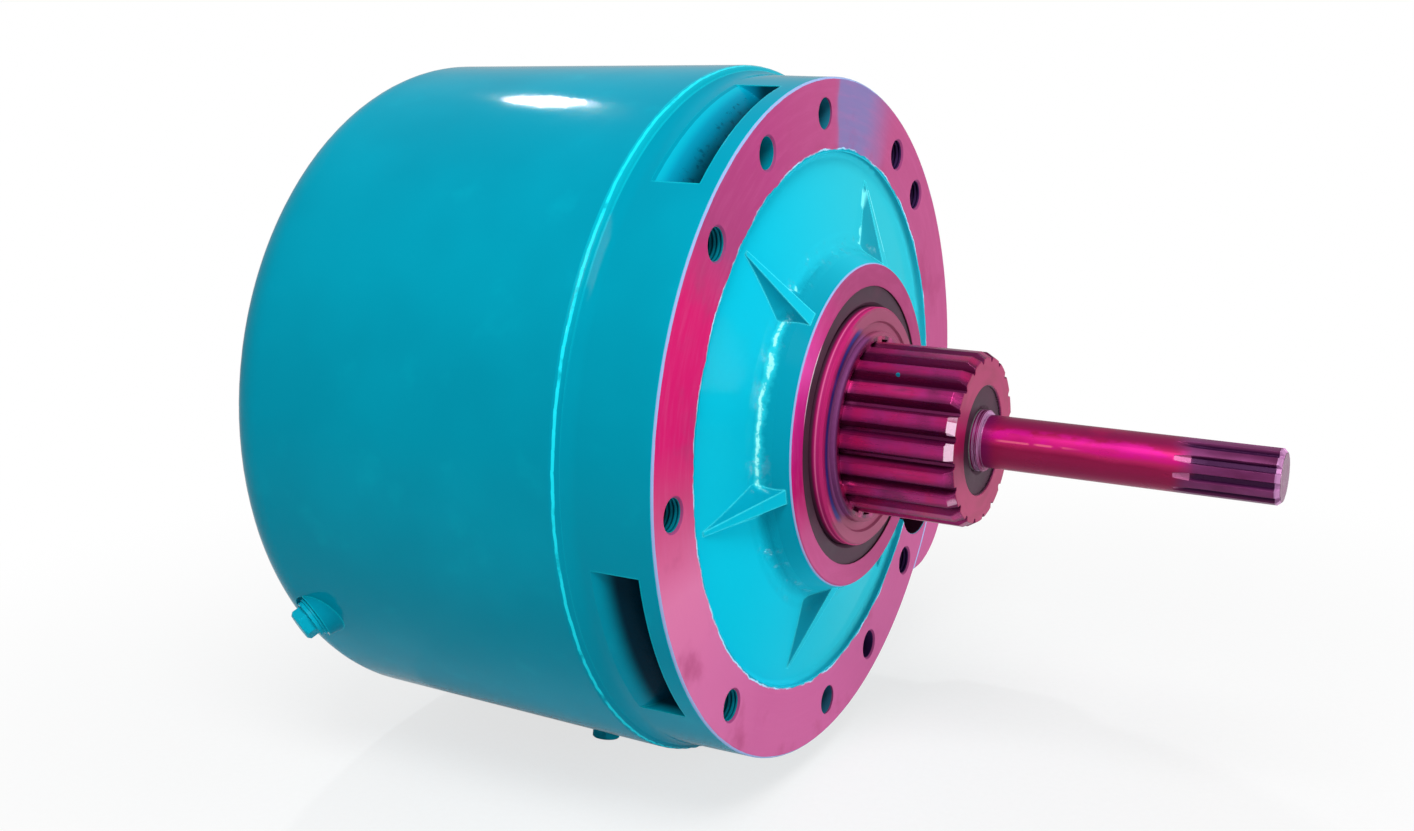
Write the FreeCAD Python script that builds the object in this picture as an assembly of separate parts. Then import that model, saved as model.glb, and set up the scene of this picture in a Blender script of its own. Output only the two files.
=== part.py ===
import FreeCAD, Part
import math
import os

Vector = FreeCAD.Vector

# Hoist gearbox: a coaxial two-stage planetary reducer in a round cast casing.
# Lengths are millimetres. X runs along both shafts and out of the mounting flange, Z is up, and the
# origin is the centre of the flange's machined face. Angles turn from +Y towards +Z.

# Gearing
MODULE = 5.0
PRESSURE_ANGLE = 25.0
BACKLASH = 0.35
RING_TEETH = 60
SUN2_TEETH = 16
PLANET2_TEETH = 22
PLANET2_COUNT = 4
SUN1_TEETH = 12
PLANET1_TEETH = 24
PLANET1_COUNT = 3
ADDENDUM = 0.95 * MODULE
DEDENDUM = 1.25 * MODULE
FLANK_POINTS = 3
RING_X = (-250.0, -118.0)
RING_WALL = 27.75
RING_OUTER_R = MODULE * RING_TEETH / 2 + DEDENDUM + RING_WALL
DOWEL_R = 5.0
DOWEL_LENGTH = 24.0

# Casing: inside
WALL = 13.0
CAVITY_R = RING_OUTER_R + 4.0
SEAL_JOURNAL_R = 70.0
BEARING_DEPTH = 35.0
SEAL_DEPTH = 12.0
HUB_BORE_R = SEAL_JOURNAL_R + BEARING_DEPTH
OUTPUT_SEAL_R = SEAL_JOURNAL_R + SEAL_DEPTH
BEARING_LIP_R = SEAL_JOURNAL_R + SEAL_DEPTH / 2
HUB_TUBE_R = HUB_BORE_R + WALL
HUB_TUBE_END = -95.0
STOP_RING_FRONT = -103.0
STOP_RING_R = RING_OUTER_R - 24.0

# Casing: outer shape
FLANGE_R = 200.0
FACE_WIDTH = 42.0
FACE_INNER_R = FLANGE_R - FACE_WIDTH
PANEL_STEP = 5.0
PANEL_RISE = 11.0
HUB_FACE_X = 24.0
HUB_FACE_R = OUTPUT_SEAL_R + WALL
BOSS_ROOT_R = HUB_FACE_R + 9.0
BAND_LENGTH = 42.0
SHOULDER_LENGTH = 15.0
FRONT_WALL = 18.2
REAR_WALL = 20.0
BODY_FRONT_R = CAVITY_R + FRONT_WALL
BODY_REAR_R = RING_OUTER_R + REAR_WALL
REAR_CORNER_X = -257.0
REAR_CORNER_R = 30.0
TAIL_RIM_R = RING_OUTER_R + 2.0
EDGE_CHAMFER = 1.0

# Casing: what is cut into the flange or stands on it
BOLT_CIRCLE_R = FLANGE_R - 20.0
FLANGE_HOLE_R = 8.75
FLANGE_HOLE_ANGLES = (0.0, 43.2, 56.8, 138.5, 183.7, 229.4, 316.5)
POCKET_HOLE_ANGLES = (116.1, 293.7)
REAMED_HOLE_R = 9.0
REAMED_HOLE_START = 92.7
BLIND_DEPTH = 36.0
HOLE_EDGE = 1.2
POCKET_START = 27.0
POCKET_COUNT = 4
POCKET_SPAN = 29.5
POCKET_FRONT = 11.0
POCKET_REAR = 41.0
POCKET_DEPTH = 34.0
POCKET_FLOOR_R = FLANGE_R - POCKET_DEPTH
RIB_ANGLES = (8.0, 67.8, 131.5, 192.3, 253.2, 308.0)
RIB_TIP_R = FACE_INNER_R - 10.0
EAR_ANGLE = -28.5
EAR_CENTRE_R = FLANGE_R - 27.5
EAR_R = 53.5
EAR_DEPTH = 46.0
EAR_TAPER = (32.0, 50.0)
EAR_BORE_R = 27.0
EAR_BORE_DEPTH = 36.0

# Output shaft and its carrier
JOURNAL_END = 29.5
COLLAR_R = 56.0
COLLAR_END = 31.5
SPLINE_R = 50.0
SPLINE_ROOT_R = 44.6
SPLINE_TEETH = 20
SPLINE_START = 36.0
SPLINE_PHASE = 6.0
SPLINE_CUTTER_R = 45.0
OUTPUT_NOSE = 97.5
NOSE_CHAMFER = 3.0
QUILL_BORE_R = 24.0
SHOULDER_R = SEAL_JOURNAL_R + 10.0
CARRIER2_R = 130.0
CARRIER2_FRONT = (-118.0, -98.0)
CARRIER2_REAR = (-193.0, -177.0)
CARRIER2_BORE_R = 50.0
POST2_R = 14.0
POST2_CENTRE_R = 112.0

# Input shaft
INPUT_TIP = 260.5
INPUT_R = 15.0
INPUT_SPLINE_ROOT_R = 12.7
INPUT_SPLINE_TEETH = 10
INPUT_SPLINE_START = 223.0
INPUT_SPLINE_PHASE = 9.0
INPUT_CUTTER_R = 65.0
INPUT_SEAL_R = 17.5
INPUT_STEP_X = 100.5
INPUT_BODY_R = 17.0
INPUT_SHOULDER_X = 73.0
INPUT_SHOULDER_R = 20.5
SUN1_X = (-247.0, -216.0)
SUN1_SEAT_R = 14.0
INPUT_TAIL_R = 12.5
INPUT_TAIL_X = (-273.0, -259.5)
KEY_WIDTH = 8.0
KEY_HEIGHT = 7.0
KEY_DEPTH = 4.0
CLIP_THICKNESS = 1.5

# Bearings and seals: (rear x, front x), bore radius, outer radius, roller count
FRONT_BEARING = ((-35.0, -2.0), SEAL_JOURNAL_R, HUB_BORE_R, 16)
REAR_BEARING = ((-83.0, -50.0), SEAL_JOURNAL_R, HUB_BORE_R, 16)
INPUT_BEARING = ((INPUT_SHOULDER_X, INPUT_SHOULDER_X + 14.0), INPUT_SEAL_R, 31.0, 12)
TAIL_BEARING = ((INPUT_TAIL_X[1] - 12.0, INPUT_TAIL_X[1]), INPUT_TAIL_R, 23.5, 12)
OUTPUT_SEAL_X = (10.0, 22.8)
INPUT_SEAL_X = (88.5, 95.8)

# Planet carriers of the input stage
CARRIER1_R = 116.0
CARRIER1_FRONT = (-214.0, -198.0)
CARRIER1_REAR = (-258.0, -248.0)
CARRIER1_BORE_R = 28.0
POST1_R = 12.0
POST1_CENTRE_R = 95.0

# Planets: pin, bush and washer sizes of the output and the input stage
PIN2_R = 18.0
BUSH2_R = 22.0
PIN1_R = 14.0
BUSH1_R = 17.5
WASHER_THICKNESS = 2.0
WASHER_WIDTH = 12.0
PLANET_END_GAP = 0.3

# Rear cover and its tie bolts
COVER_X = (-280.0, RING_X[0])
COVER_BOSS_X = -283.5
TIE_CIRCLE_R = RING_OUTER_R - 14.0
TIE_COUNT = 8
TIE_START = 22.5
TIE_R = 6.0
TIE_CLEARANCE_R = 6.75
TIE_HEAD_R = 9.0
TIE_HEAD_HEIGHT = 12.0
TIE_SOCKET_FLATS = 10.0
TIE_TIP_X = -101.0
ORING_WIDTH = 4.0
ORING_HEIGHT = 3.5

# Oil plugs: (x, seat radius, angle, lean towards the tail) of each seat
PLUG_PLACES = {
    "level": (-249.0, BODY_REAR_R + 2.0, 212.5, 26.0),
    "drain": (-133.0, BODY_FRONT_R + 1.3, 259.5, 0.0),
}
PLUG_THREAD_R = 8.3
PLUG_THREAD_LENGTH = 14.0
PLUG_FLATS = 17.0
PLUG_HEX_HEIGHT = 7.0
PLUG_COLLAR_R = 11.5
PLUG_COLLAR_HEIGHT = 2.5
PLUG_WASHER_HEIGHT = 1.5
PLUG_PAD_R = 14.5
OIL_WAY_LENGTH = 70.0
OIL_WAY_R = 4.0

RUNNING = 0.04
SLIVER = 0.05


# Basic solids about the X axis

def outline(points):
    """Closed wire in the XY plane. (x, r) is a corner; (mx, mr, x, r) is an arc through (mx, mr)."""
    edges = []
    start = Vector(points[0][-2], points[0][-1], 0)
    here = start
    for point in points[1:]:
        end = Vector(point[-2], point[-1], 0)
        if len(point) == 4:
            edges.append(Part.Arc(here, Vector(point[0], point[1], 0), end).toShape())
        else:
            edges.append(Part.makeLine(here, end))
        here = end
    if here.distanceToPoint(start) > 1e-6:
        edges.append(Part.makeLine(here, start))
    return Part.Wire(edges)


def revolved(points, start=0.0, turn=360.0):
    """Solid of the outline turned about X, from the start angle on."""
    face = Part.Face(outline(points))
    solid = face.revolve(Vector(0, 0, 0), Vector(1, 0, 0), turn)
    return turned(solid, start)


def turned(shape, angle):
    """Copy of the shape turned about X."""
    copy = shape.copy()
    copy.rotate(Vector(0, 0, 0), Vector(1, 0, 0), angle)
    return copy


def placed(shape, radius, angle):
    """Copy of a shape on the X axis, moved out to a radius and angle."""
    copy = shape.copy()
    copy.translate(polar(0, radius, angle))
    return copy


def polar(x, radius, angle):
    a = math.radians(angle)
    return Vector(x, radius * math.cos(a), radius * math.sin(a))


def disc(x_pair, radius):
    """Solid cylinder between two x values."""
    low = min(x_pair)
    return Part.makeCylinder(radius, abs(x_pair[1] - x_pair[0]), Vector(low, 0, 0), Vector(1, 0, 0))


def ring(x_pair, inner, outer):
    """Plain ring between two x values."""
    return disc(x_pair, outer).cut(disc((min(x_pair) - 1, max(x_pair) + 1), inner))


def around(shape, count, start=0.0):
    """The shape and its copies, evenly spaced about X."""
    return [turned(shape, start + k * 360.0 / count) for k in range(count)]


def joined(shape, others):
    for other in others:
        shape = shape.fuse(other)
    return shape.removeSplitter()


def without(shape, cutters):
    for cutter in cutters:
        shape = shape.cut(cutter)
    return shape


def group(shapes):
    """Separate solids in one node."""
    return Part.makeCompound(shapes)


def prism(points, x_pair):
    """Straight solid along X over a closed polygon of (y, z) points."""
    corners = [Vector(x_pair[0], y, z) for y, z in points]
    face = Part.Face(Part.makePolygon(corners + corners[:1]))
    return face.extrude(Vector(x_pair[1] - x_pair[0], 0, 0))


def hexagon(flats):
    radius = flats / math.sqrt(3.0)
    return [(radius * math.cos(k * math.pi / 3), radius * math.sin(k * math.pi / 3)) for k in range(6)]


# Involute gearing

def involute(angle):
    return math.tan(angle) - angle


def gear_points(teeth, tip_r, root_r, tooth_width):
    """Outline of an involute gear whose first tooth is centred on angle 0."""
    pitch_r = MODULE * teeth / 2.0
    base_r = pitch_r * math.cos(math.radians(PRESSURE_ANGLE))
    low_r = max(root_r, base_r)
    radii = [low_r + (tip_r - low_r) * k / (FLANK_POINTS - 1) for k in range(FLANK_POINTS)]
    if base_r > root_r + 0.5:
        radii.insert(0, root_r)
    half = []
    for r in radii:
        turn = involute(math.acos(min(1.0, base_r / r))) if r > base_r else 0.0
        half.append(tooth_width / (2 * pitch_r) + involute(math.radians(PRESSURE_ANGLE)) - turn)
    points = []
    for k in range(teeth):
        centre = 2 * math.pi * k / teeth
        rising = [(r, centre - h) for r, h in zip(radii, half)]
        falling = [(r, centre + h) for r, h in zip(reversed(radii), reversed(half))]
        points += [(r * math.cos(a), r * math.sin(a)) for r, a in rising + falling]
    return points


def tooth_thickness():
    return math.pi * MODULE / 2 - BACKLASH / 2


def gear(teeth, x_pair):
    """External gear with a tooth centred on angle 0."""
    pitch_r = MODULE * teeth / 2.0
    return prism(gear_points(teeth, pitch_r + ADDENDUM, pitch_r - DEDENDUM, tooth_thickness()), x_pair)


def sun(teeth, x_pair, bore_r, spread=0.0):
    """Sun gear with a tooth space on angle 0; spread swells it into a cutter for its own spline."""
    pitch_r = MODULE * teeth / 2.0
    points = gear_points(teeth, pitch_r + ADDENDUM + spread, pitch_r - DEDENDUM + spread,
                         tooth_thickness() + 2 * spread)
    body = turned(prism(points, x_pair), 180.0 / teeth)
    if bore_r > 0:
        body = body.cut(disc((min(x_pair) - 1, max(x_pair) + 1), bore_r))
    return body


def planet_centre_r(sun_teeth, planet_teeth):
    return MODULE * (sun_teeth + planet_teeth) / 2.0


def planet_angle(index, count):
    return 360.0 * index / count


def planet(index, count, sun_teeth, teeth, x_pair, bore_r):
    """Planet gear in mesh with the sun and the ring gear."""
    angle = planet_angle(index, count)
    body = gear(teeth, x_pair).cut(disc((x_pair[0] - 1, x_pair[1] + 1), bore_r))
    body = turned(body, 180.0 + angle * (1.0 + sun_teeth / teeth))
    return placed(body, planet_centre_r(sun_teeth, teeth), angle)


def at_planets(shape, count, sun_teeth, teeth):
    """Copies of a shape on the X axis, one on each planet's axis."""
    radius = planet_centre_r(sun_teeth, teeth)
    return [placed(shape, radius, planet_angle(k, count)) for k in range(count)]


# Splines: straight-sided grooves that run out where the milling cutter left the shaft

def groove(outer_r, root_r, top_width, x_start, x_end, cutter_r):
    """Cutter for one groove on angle 0, open at x_end and curving out of the shaft at x_start."""
    spread = outer_r + 1.0
    depth = spread - root_r
    bottom = top_width / 2 - (outer_r - root_r) * math.tan(math.radians(30))
    top = bottom + depth * math.tan(math.radians(30))
    corners = [Vector(x_start, root_r, -bottom), Vector(x_start, root_r, bottom),
               Vector(x_start, spread, top), Vector(x_start, spread, -top)]
    face = Part.Face(Part.makePolygon(corners + corners[:1]))
    straight = face.extrude(Vector(x_end - x_start, 0, 0))
    sweep = math.degrees(math.acos((cutter_r - depth) / cutter_r))
    run_out = face.revolve(Vector(x_start, root_r + cutter_r, 0), Vector(0, 0, -1), sweep)
    return straight.fuse(run_out)


# Casing

def tail_x():
    """Rear end of the casing, where its corner radius meets the rim."""
    rise = TAIL_RIM_R - (BODY_REAR_R - REAR_CORNER_R)
    return REAR_CORNER_X - math.sqrt(REAR_CORNER_R ** 2 - rise ** 2)


def panel_x(radius):
    """Height of the cone-shaped end wall at a radius."""
    return -PANEL_STEP + PANEL_RISE * (FACE_INNER_R - radius) / (FACE_INNER_R - BOSS_ROOT_R)


def casing_outline():
    """Half section of the casting: outside from hub to tail, then back along the inside."""
    seal_front, seal_back = HUB_FACE_X, OUTPUT_SEAL_X[0]
    bearing_front, bearing_r = FRONT_BEARING[0][1], FRONT_BEARING[2]
    panel_top = PANEL_RISE - PANEL_STEP
    band_end = -BAND_LENGTH
    shoulder_end = band_end - SHOULDER_LENGTH
    step = BODY_FRONT_R - FLANGE_R
    tail = tail_x()
    corner_r = BODY_REAR_R - REAR_CORNER_R
    half_turn = math.acos((TAIL_RIM_R - corner_r) / REAR_CORNER_R) / 2
    corner_mid_x = REAR_CORNER_X - REAR_CORNER_R * math.sin(half_turn)
    corner_mid_r = corner_r + REAR_CORNER_R * math.cos(half_turn)
    groove_x = REAR_BEARING[0][0]
    return [
        (seal_front, OUTPUT_SEAL_R),
        (seal_front, HUB_FACE_R - EDGE_CHAMFER),
        (seal_front - EDGE_CHAMFER, HUB_FACE_R),
        (panel_top + 3.3, BOSS_ROOT_R - 1.8),
        (panel_top + 0.7, BOSS_ROOT_R + 0.5, panel_x(BOSS_ROOT_R + 3.7), BOSS_ROOT_R + 3.7),
        (-PANEL_STEP + 0.8, FACE_INNER_R - 4),
        (-PANEL_STEP + 1.2, FACE_INNER_R - 1.2, -PANEL_STEP + 3, FACE_INNER_R),
        (0, FACE_INNER_R),
        (0, FLANGE_R - EDGE_CHAMFER),
        (-EDGE_CHAMFER, FLANGE_R),
        (band_end, FLANGE_R + step * 3 / 31),
        (band_end - 6.5, FLANGE_R + step * 7 / 31, band_end - 10.2, FLANGE_R + step * 16.5 / 31),
        (band_end - 11.8, FLANGE_R + step * 26 / 31, shoulder_end, BODY_FRONT_R),
        (REAR_CORNER_X, BODY_REAR_R),
        (corner_mid_x, corner_mid_r, tail, TAIL_RIM_R),
        (tail, RING_OUTER_R),
        (RING_X[1], RING_OUTER_R),
        (RING_X[1], STOP_RING_R),
        (STOP_RING_FRONT, STOP_RING_R),
        (STOP_RING_FRONT + 6, CAVITY_R),
        (shoulder_end - 8, CAVITY_R),
        (-POCKET_REAR + 8, FACE_INNER_R - 6),
        (-PANEL_STEP - WALL + 2, FACE_INNER_R - 8),
        (panel_top - WALL - 4, HUB_TUBE_R),
        (HUB_TUBE_END, HUB_TUBE_R),
        (HUB_TUBE_END, bearing_r),
        (groove_x - 4, bearing_r),
        (groove_x - 4, bearing_r + 4),
        (groove_x, bearing_r + 4),
        (groove_x, bearing_r),
        (bearing_front, bearing_r),
        (bearing_front, BEARING_LIP_R),
        (seal_back, BEARING_LIP_R),
        (seal_back, OUTPUT_SEAL_R),
    ]


def pocket():
    """Cutter for one bolt pocket behind the flange: a scooped floor between flat ends."""
    floor_r = FLANGE_R + 1
    beyond_r = max(FLANGE_R, BODY_FRONT_R) + 10
    section = [
        (-POCKET_FRONT, beyond_r),
        (-POCKET_FRONT, POCKET_FLOOR_R),
        (-POCKET_FRONT - 9, POCKET_FLOOR_R + 21, -POCKET_REAR, floor_r),
        (-POCKET_REAR - 3, beyond_r),
    ]
    return revolved(section, -POCKET_SPAN / 2, POCKET_SPAN)


def hole_in_face(radius, depth):
    """Cutter on the X axis for one hole in the flange face, with a broken edge."""
    edge = Part.makeCone(radius + HOLE_EDGE, radius, HOLE_EDGE, Vector(0, 0, 0), Vector(-1, 0, 0))
    return disc((1, -depth), radius).fuse(edge)


def flange_hole(angle, depth):
    return placed(hole_in_face(FLANGE_HOLE_R, depth), BOLT_CIRCLE_R, angle)


def flange_holes():
    """Cutters for every hole in the flange; the two reamed ones have a sharp edge."""
    blind = [flange_hole(angle, BLIND_DEPTH) for angle in FLANGE_HOLE_ANGLES]
    through = [flange_hole(angle, POCKET_FRONT + 2) for angle in POCKET_HOLE_ANGLES]
    reamed = placed(disc((1, -BLIND_DEPTH), REAMED_HOLE_R), BOLT_CIRCLE_R, 0)
    return blind + through + around(reamed, 2, REAMED_HOLE_START)


def rib_section(radius, foot_half, crest_half, crest_x):
    """Closed wire across a rib: a flat crest between hollow flanks."""
    foot_x = panel_x(radius) - 3
    mid_x = foot_x + 0.36 * (crest_x - foot_x)
    mid_half = crest_half + 0.28 * (foot_half - crest_half)
    foot = Vector(foot_x, radius, -foot_half), Vector(foot_x, radius, foot_half)
    crest = Vector(crest_x, radius, -crest_half), Vector(crest_x, radius, crest_half)
    rising = Part.Arc(foot[0], Vector(mid_x, radius, -mid_half), crest[0]).toShape()
    falling = Part.Arc(crest[1], Vector(mid_x, radius, mid_half), foot[1]).toShape()
    return Part.Wire([rising, Part.makeLine(*crest), falling, Part.makeLine(foot[1], foot[0])])


def rib():
    """Pointed rib on angle 0, from the hub's edge down to the end wall."""
    high = rib_section(HUB_FACE_R - 4, 24.0, 4.5, HUB_FACE_X - 1.3)
    low = rib_section(RIB_TIP_R, 4.0, 1.4, panel_x(RIB_TIP_R) + 0.5)
    return Part.makeLoft([high, low], True, True)


def ear():
    """Round ear beside the flange, tapering into the casing behind."""
    lobe = disc((-EDGE_CHAMFER, -EAR_DEPTH), EAR_R)
    front = Part.makeCone(EAR_R, EAR_R - EDGE_CHAMFER, EDGE_CHAMFER,
                          Vector(-EDGE_CHAMFER, 0, 0), Vector(1, 0, 0))
    back = Part.makeCone(EAR_R, EAR_R - EAR_TAPER[0], EAR_TAPER[1],
                         Vector(-EAR_DEPTH, 0, 0), Vector(-1, 0, 0))
    outside = placed(joined(lobe, [front, back]), EAR_CENTRE_R, EAR_ANGLE)
    outside = outside.cut(disc((-EAR_DEPTH, 10), FACE_INNER_R))
    return outside.cut(disc((2 * tail_x(), -EAR_DEPTH + 1), CAVITY_R + 6))


def ear_boss():
    """Metal round the ear's blind bore, inside the casing."""
    boss = disc((-EAR_BORE_DEPTH - 9, -9), EAR_BORE_R + 10)
    return placed(boss, EAR_CENTRE_R, EAR_ANGLE)


def casing():
    """The whole casting, as two solids that meet where the end wall leaves the flange ring."""
    body = revolved(casing_outline())
    body = joined(body, [ear(), ear_boss()])
    body = joined(body, [turned(rib(), angle) for angle in RIB_ANGLES])
    body = joined(body, [plug_pad(*place) for place in PLUG_PLACES.values()])
    cutters = around(pocket(), POCKET_COUNT, POCKET_START)
    cutters += flange_holes()
    cutters.append(placed(hole_in_face(EAR_BORE_R, EAR_BORE_DEPTH), EAR_CENTRE_R, EAR_ANGLE))
    tap = placed(disc((RING_X[1] - 1, STOP_RING_FRONT + 8), TIE_R), TIE_CIRCLE_R, 0)
    cutters += around(tap, TIE_COUNT, TIE_START)
    cutters += around(dowel_pin(), 2)
    cutters += [spot_face(*place) for place in PLUG_PLACES.values()]
    cutters += [plug_hole(*place) for place in PLUG_PLACES.values()]
    body = without(body, cutters)
    middle = disc((HUB_TUBE_END - 2, HUB_FACE_X + 1), FACE_INNER_R)
    return group([body.cut(middle), body.common(middle)])


# Ring gear and the tail of the gearbox

def ring_gear():
    """Internal gear of both stages, with a tooth space on angle 0."""
    pitch_r = MODULE * RING_TEETH / 2.0
    space = gear_points(RING_TEETH, pitch_r + DEDENDUM, pitch_r - ADDENDUM,
                        math.pi * MODULE / 2 + BACKLASH / 2)
    body = disc(RING_X, RING_OUTER_R).cut(prism(space, (RING_X[0] - 1, RING_X[1] + 1)))
    hole = placed(disc((RING_X[0] - 1, RING_X[1] + 1), TIE_CLEARANCE_R), TIE_CIRCLE_R, 0)
    cutters = around(hole, TIE_COUNT, TIE_START) + around(dowel_pin(), 2)
    cutters += [plug_frame(disc((-OIL_WAY_LENGTH, 1), OIL_WAY_R), *place) for place in PLUG_PLACES.values()]
    return without(body, cutters)


def dowel_pin():
    pin = disc((RING_X[1] - DOWEL_LENGTH / 2, RING_X[1] + DOWEL_LENGTH / 2), DOWEL_R)
    return placed(pin, TIE_CIRCLE_R, 0)


def ring_gear_dowels():
    """Two pins that stop the ring gear turning in the casing."""
    return group(around(dowel_pin(), 2))


def rear_cover():
    """Cast cover with a bearing boss, a dished web and stiffening ribs."""
    back, front = COVER_X
    pocket_end, bearing_r = TAIL_BEARING[0][0], TAIL_BEARING[2]
    groove_front = oring_x() + ORING_WIDTH / 2
    groove_r = RING_OUTER_R - ORING_HEIGHT - SLIVER
    section = [
        (COVER_BOSS_X, 0),
        (COVER_BOSS_X, 34),
        (back + 5, 40),
        (back + 5, RING_OUTER_R - 42),
        (back, RING_OUTER_R - 34),
        (back, RING_OUTER_R - SLIVER - EDGE_CHAMFER),
        (back + EDGE_CHAMFER, RING_OUTER_R - SLIVER),
        (groove_front - ORING_WIDTH, RING_OUTER_R - SLIVER),
        (groove_front - ORING_WIDTH, groove_r),
        (groove_front, groove_r),
        (groove_front, RING_OUTER_R - SLIVER),
        (front, RING_OUTER_R - SLIVER),
        (front, RING_OUTER_R - 26),
        (back + 15, RING_OUTER_R - 34),
        (back + 15, 36),
        (TAIL_BEARING[0][1] - 0.5, 33),
        (TAIL_BEARING[0][1] - 0.5, bearing_r),
        (pocket_end, bearing_r),
        (pocket_end, bearing_r - 3),
        (pocket_end - 2, bearing_r - 3),
        (pocket_end - 2, 0),
    ]
    cover = revolved(section)
    spoke = Part.makeBox(6, RING_OUTER_R - 69, 9, Vector(back, 36, -4.5))
    cover = joined(cover, around(spoke, TIE_COUNT))
    hole = disc((back - 1, front + 1), TIE_CLEARANCE_R)
    seat = disc((back - 1, back + TIE_HEAD_HEIGHT + 1), TIE_HEAD_R + 1.5)
    bolt_hole = placed(hole.fuse(seat), TIE_CIRCLE_R, 0)
    return without(cover, around(bolt_hole, TIE_COUNT, TIE_START))


def oring_x():
    return COVER_X[0] + 12


def rear_cover_oring():
    """Cord ring pressed flat between its groove and the casing's bore."""
    outer, inner = RING_OUTER_R, RING_OUTER_R - ORING_HEIGHT
    half, flat = ORING_WIDTH / 2, ORING_WIDTH / 4
    middle = oring_x()
    return revolved([
        (middle - flat, outer), (middle + flat, outer), (middle + half, outer - 1),
        (middle + half, inner + 1), (middle + flat, inner), (middle - flat, inner),
        (middle - half, inner + 1), (middle - half, outer - 1),
    ])


def tie_seat_x():
    return COVER_X[0] + TIE_HEAD_HEIGHT + 1


def tie_bolts():
    """Long cap screws that clamp the cover and the ring gear to the casing."""
    seat = tie_seat_x() - 2
    shank = disc((seat, TIE_TIP_X), TIE_R)
    head = disc((seat - TIE_HEAD_HEIGHT, seat), TIE_HEAD_R)
    socket = prism(hexagon(TIE_SOCKET_FLATS), (seat - TIE_HEAD_HEIGHT - 1, seat - TIE_HEAD_HEIGHT + 6))
    bolt = placed(shank.fuse(head).cut(socket), TIE_CIRCLE_R, 0)
    return group(around(bolt, TIE_COUNT, TIE_START))


def tie_bolt_washers():
    washer = ring((tie_seat_x() - 2, tie_seat_x()), TIE_R + 0.4, TIE_HEAD_R + 1)
    return group(around(placed(washer, TIE_CIRCLE_R, 0), TIE_COUNT, TIE_START))


# Oil plugs

def plug_frame(shape, x, radius, angle, lean):
    """Moves a plug built along +X, seat at the origin, to its seat on the casing."""
    copy = shape.copy()
    copy.rotate(Vector(0, 0, 0), Vector(0, 0, 1), 90.0 + lean)
    copy.translate(Vector(x, radius, 0))
    return turned(copy, angle)


def plug_pad(x, radius, angle, lean):
    """Round pad on the casting, machined flat for the plug's washer."""
    pad = Part.makeCone(PLUG_PAD_R + 2, PLUG_PAD_R, 10, Vector(-10, 0, 0), Vector(1, 0, 0))
    return plug_frame(pad, x, radius, angle, lean)


def spot_face(x, radius, angle, lean):
    """Cutter that clears the casting above the seat."""
    return plug_frame(disc((0, 20), PLUG_PAD_R), x, radius, angle, lean)


def plug_hole(x, radius, angle, lean):
    hole = disc((-40, 1), PLUG_THREAD_R)
    return plug_frame(hole, x, radius, angle, lean)


def plug(x, radius, angle, lean):
    """Hexagon-headed screw plug with a collar."""
    seat = PLUG_WASHER_HEIGHT
    thread = disc((seat - PLUG_THREAD_LENGTH, seat), PLUG_THREAD_R)
    collar = disc((seat, seat + PLUG_COLLAR_HEIGHT), PLUG_COLLAR_R)
    top = seat + PLUG_COLLAR_HEIGHT + PLUG_HEX_HEIGHT
    head = prism(hexagon(PLUG_FLATS), (seat, top))
    crown = Part.makeCone(PLUG_FLATS / 2 + 3.5, PLUG_FLATS / 2 - 0.5, 4, Vector(top - 4, 0, 0), Vector(1, 0, 0))
    head = head.common(crown.fuse(disc((seat, top - 4), PLUG_FLATS)))
    return plug_frame(joined(thread, [collar, head]), x, radius, angle, lean)


def plug_washer(x, radius, angle, lean):
    washer = ring((0, PLUG_WASHER_HEIGHT), PLUG_THREAD_R, PLUG_COLLAR_R + 1)
    return plug_frame(washer, x, radius, angle, lean)


# Bearings: cylindrical rollers between plain rings, held by the inner ring's lips

def roller_size(bearing):
    inner_r, outer_r = bearing[1], bearing[2]
    return (outer_r - inner_r) * 0.5, (inner_r + outer_r) / 2


def bearing_outer(bearing):
    roller_d, mean_r = roller_size(bearing)
    return ring(bearing[0], mean_r + roller_d / 2 + RUNNING / 2, bearing[2])


def bearing_inner(bearing):
    (back, front), inner_r = bearing[0], bearing[1]
    roller_d, mean_r = roller_size(bearing)
    race_r = mean_r - roller_d / 2
    lip = (front - back) * 0.18
    section = [
        (back, inner_r), (back, race_r + roller_d * 0.3), (back + lip, race_r + roller_d * 0.3),
        (back + lip, race_r), (front - lip, race_r), (front - lip, race_r + roller_d * 0.3),
        (front, race_r + roller_d * 0.3), (front, inner_r),
    ]
    return revolved(section)


def bearing_rollers(bearing):
    back, front = bearing[0]
    roller_d, mean_r = roller_size(bearing)
    lip = (front - back) * 0.18
    roller = placed(disc((back + lip, front - lip), roller_d / 2), mean_r, 0)
    return group(around(roller, bearing[3]))


# Hub: seal, spacers and retaining rings

def output_seal():
    """Metal-cased oil seal: a flat outer case and a lip that meets the journal."""
    back, front = OUTPUT_SEAL_X
    return revolved([
        (back, OUTPUT_SEAL_R), (front, OUTPUT_SEAL_R), (front, SEAL_JOURNAL_R + 2.5),
        (front - 2, SEAL_JOURNAL_R + 0.02), (front - 5, SEAL_JOURNAL_R + 0.8),
        (front - 5, SEAL_JOURNAL_R + 4), (back, SEAL_JOURNAL_R + 4),
    ])


def input_seal():
    back, front = INPUT_SEAL_X
    outer = INPUT_BEARING[2]
    return revolved([
        (back, outer), (front, outer), (front, INPUT_SEAL_R + 2.5), (front - 1.5, INPUT_SEAL_R + 0.02),
        (front - 3.5, INPUT_SEAL_R + 0.8), (front - 3.5, INPUT_SEAL_R + 3), (back, INPUT_SEAL_R + 3),
    ])


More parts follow.
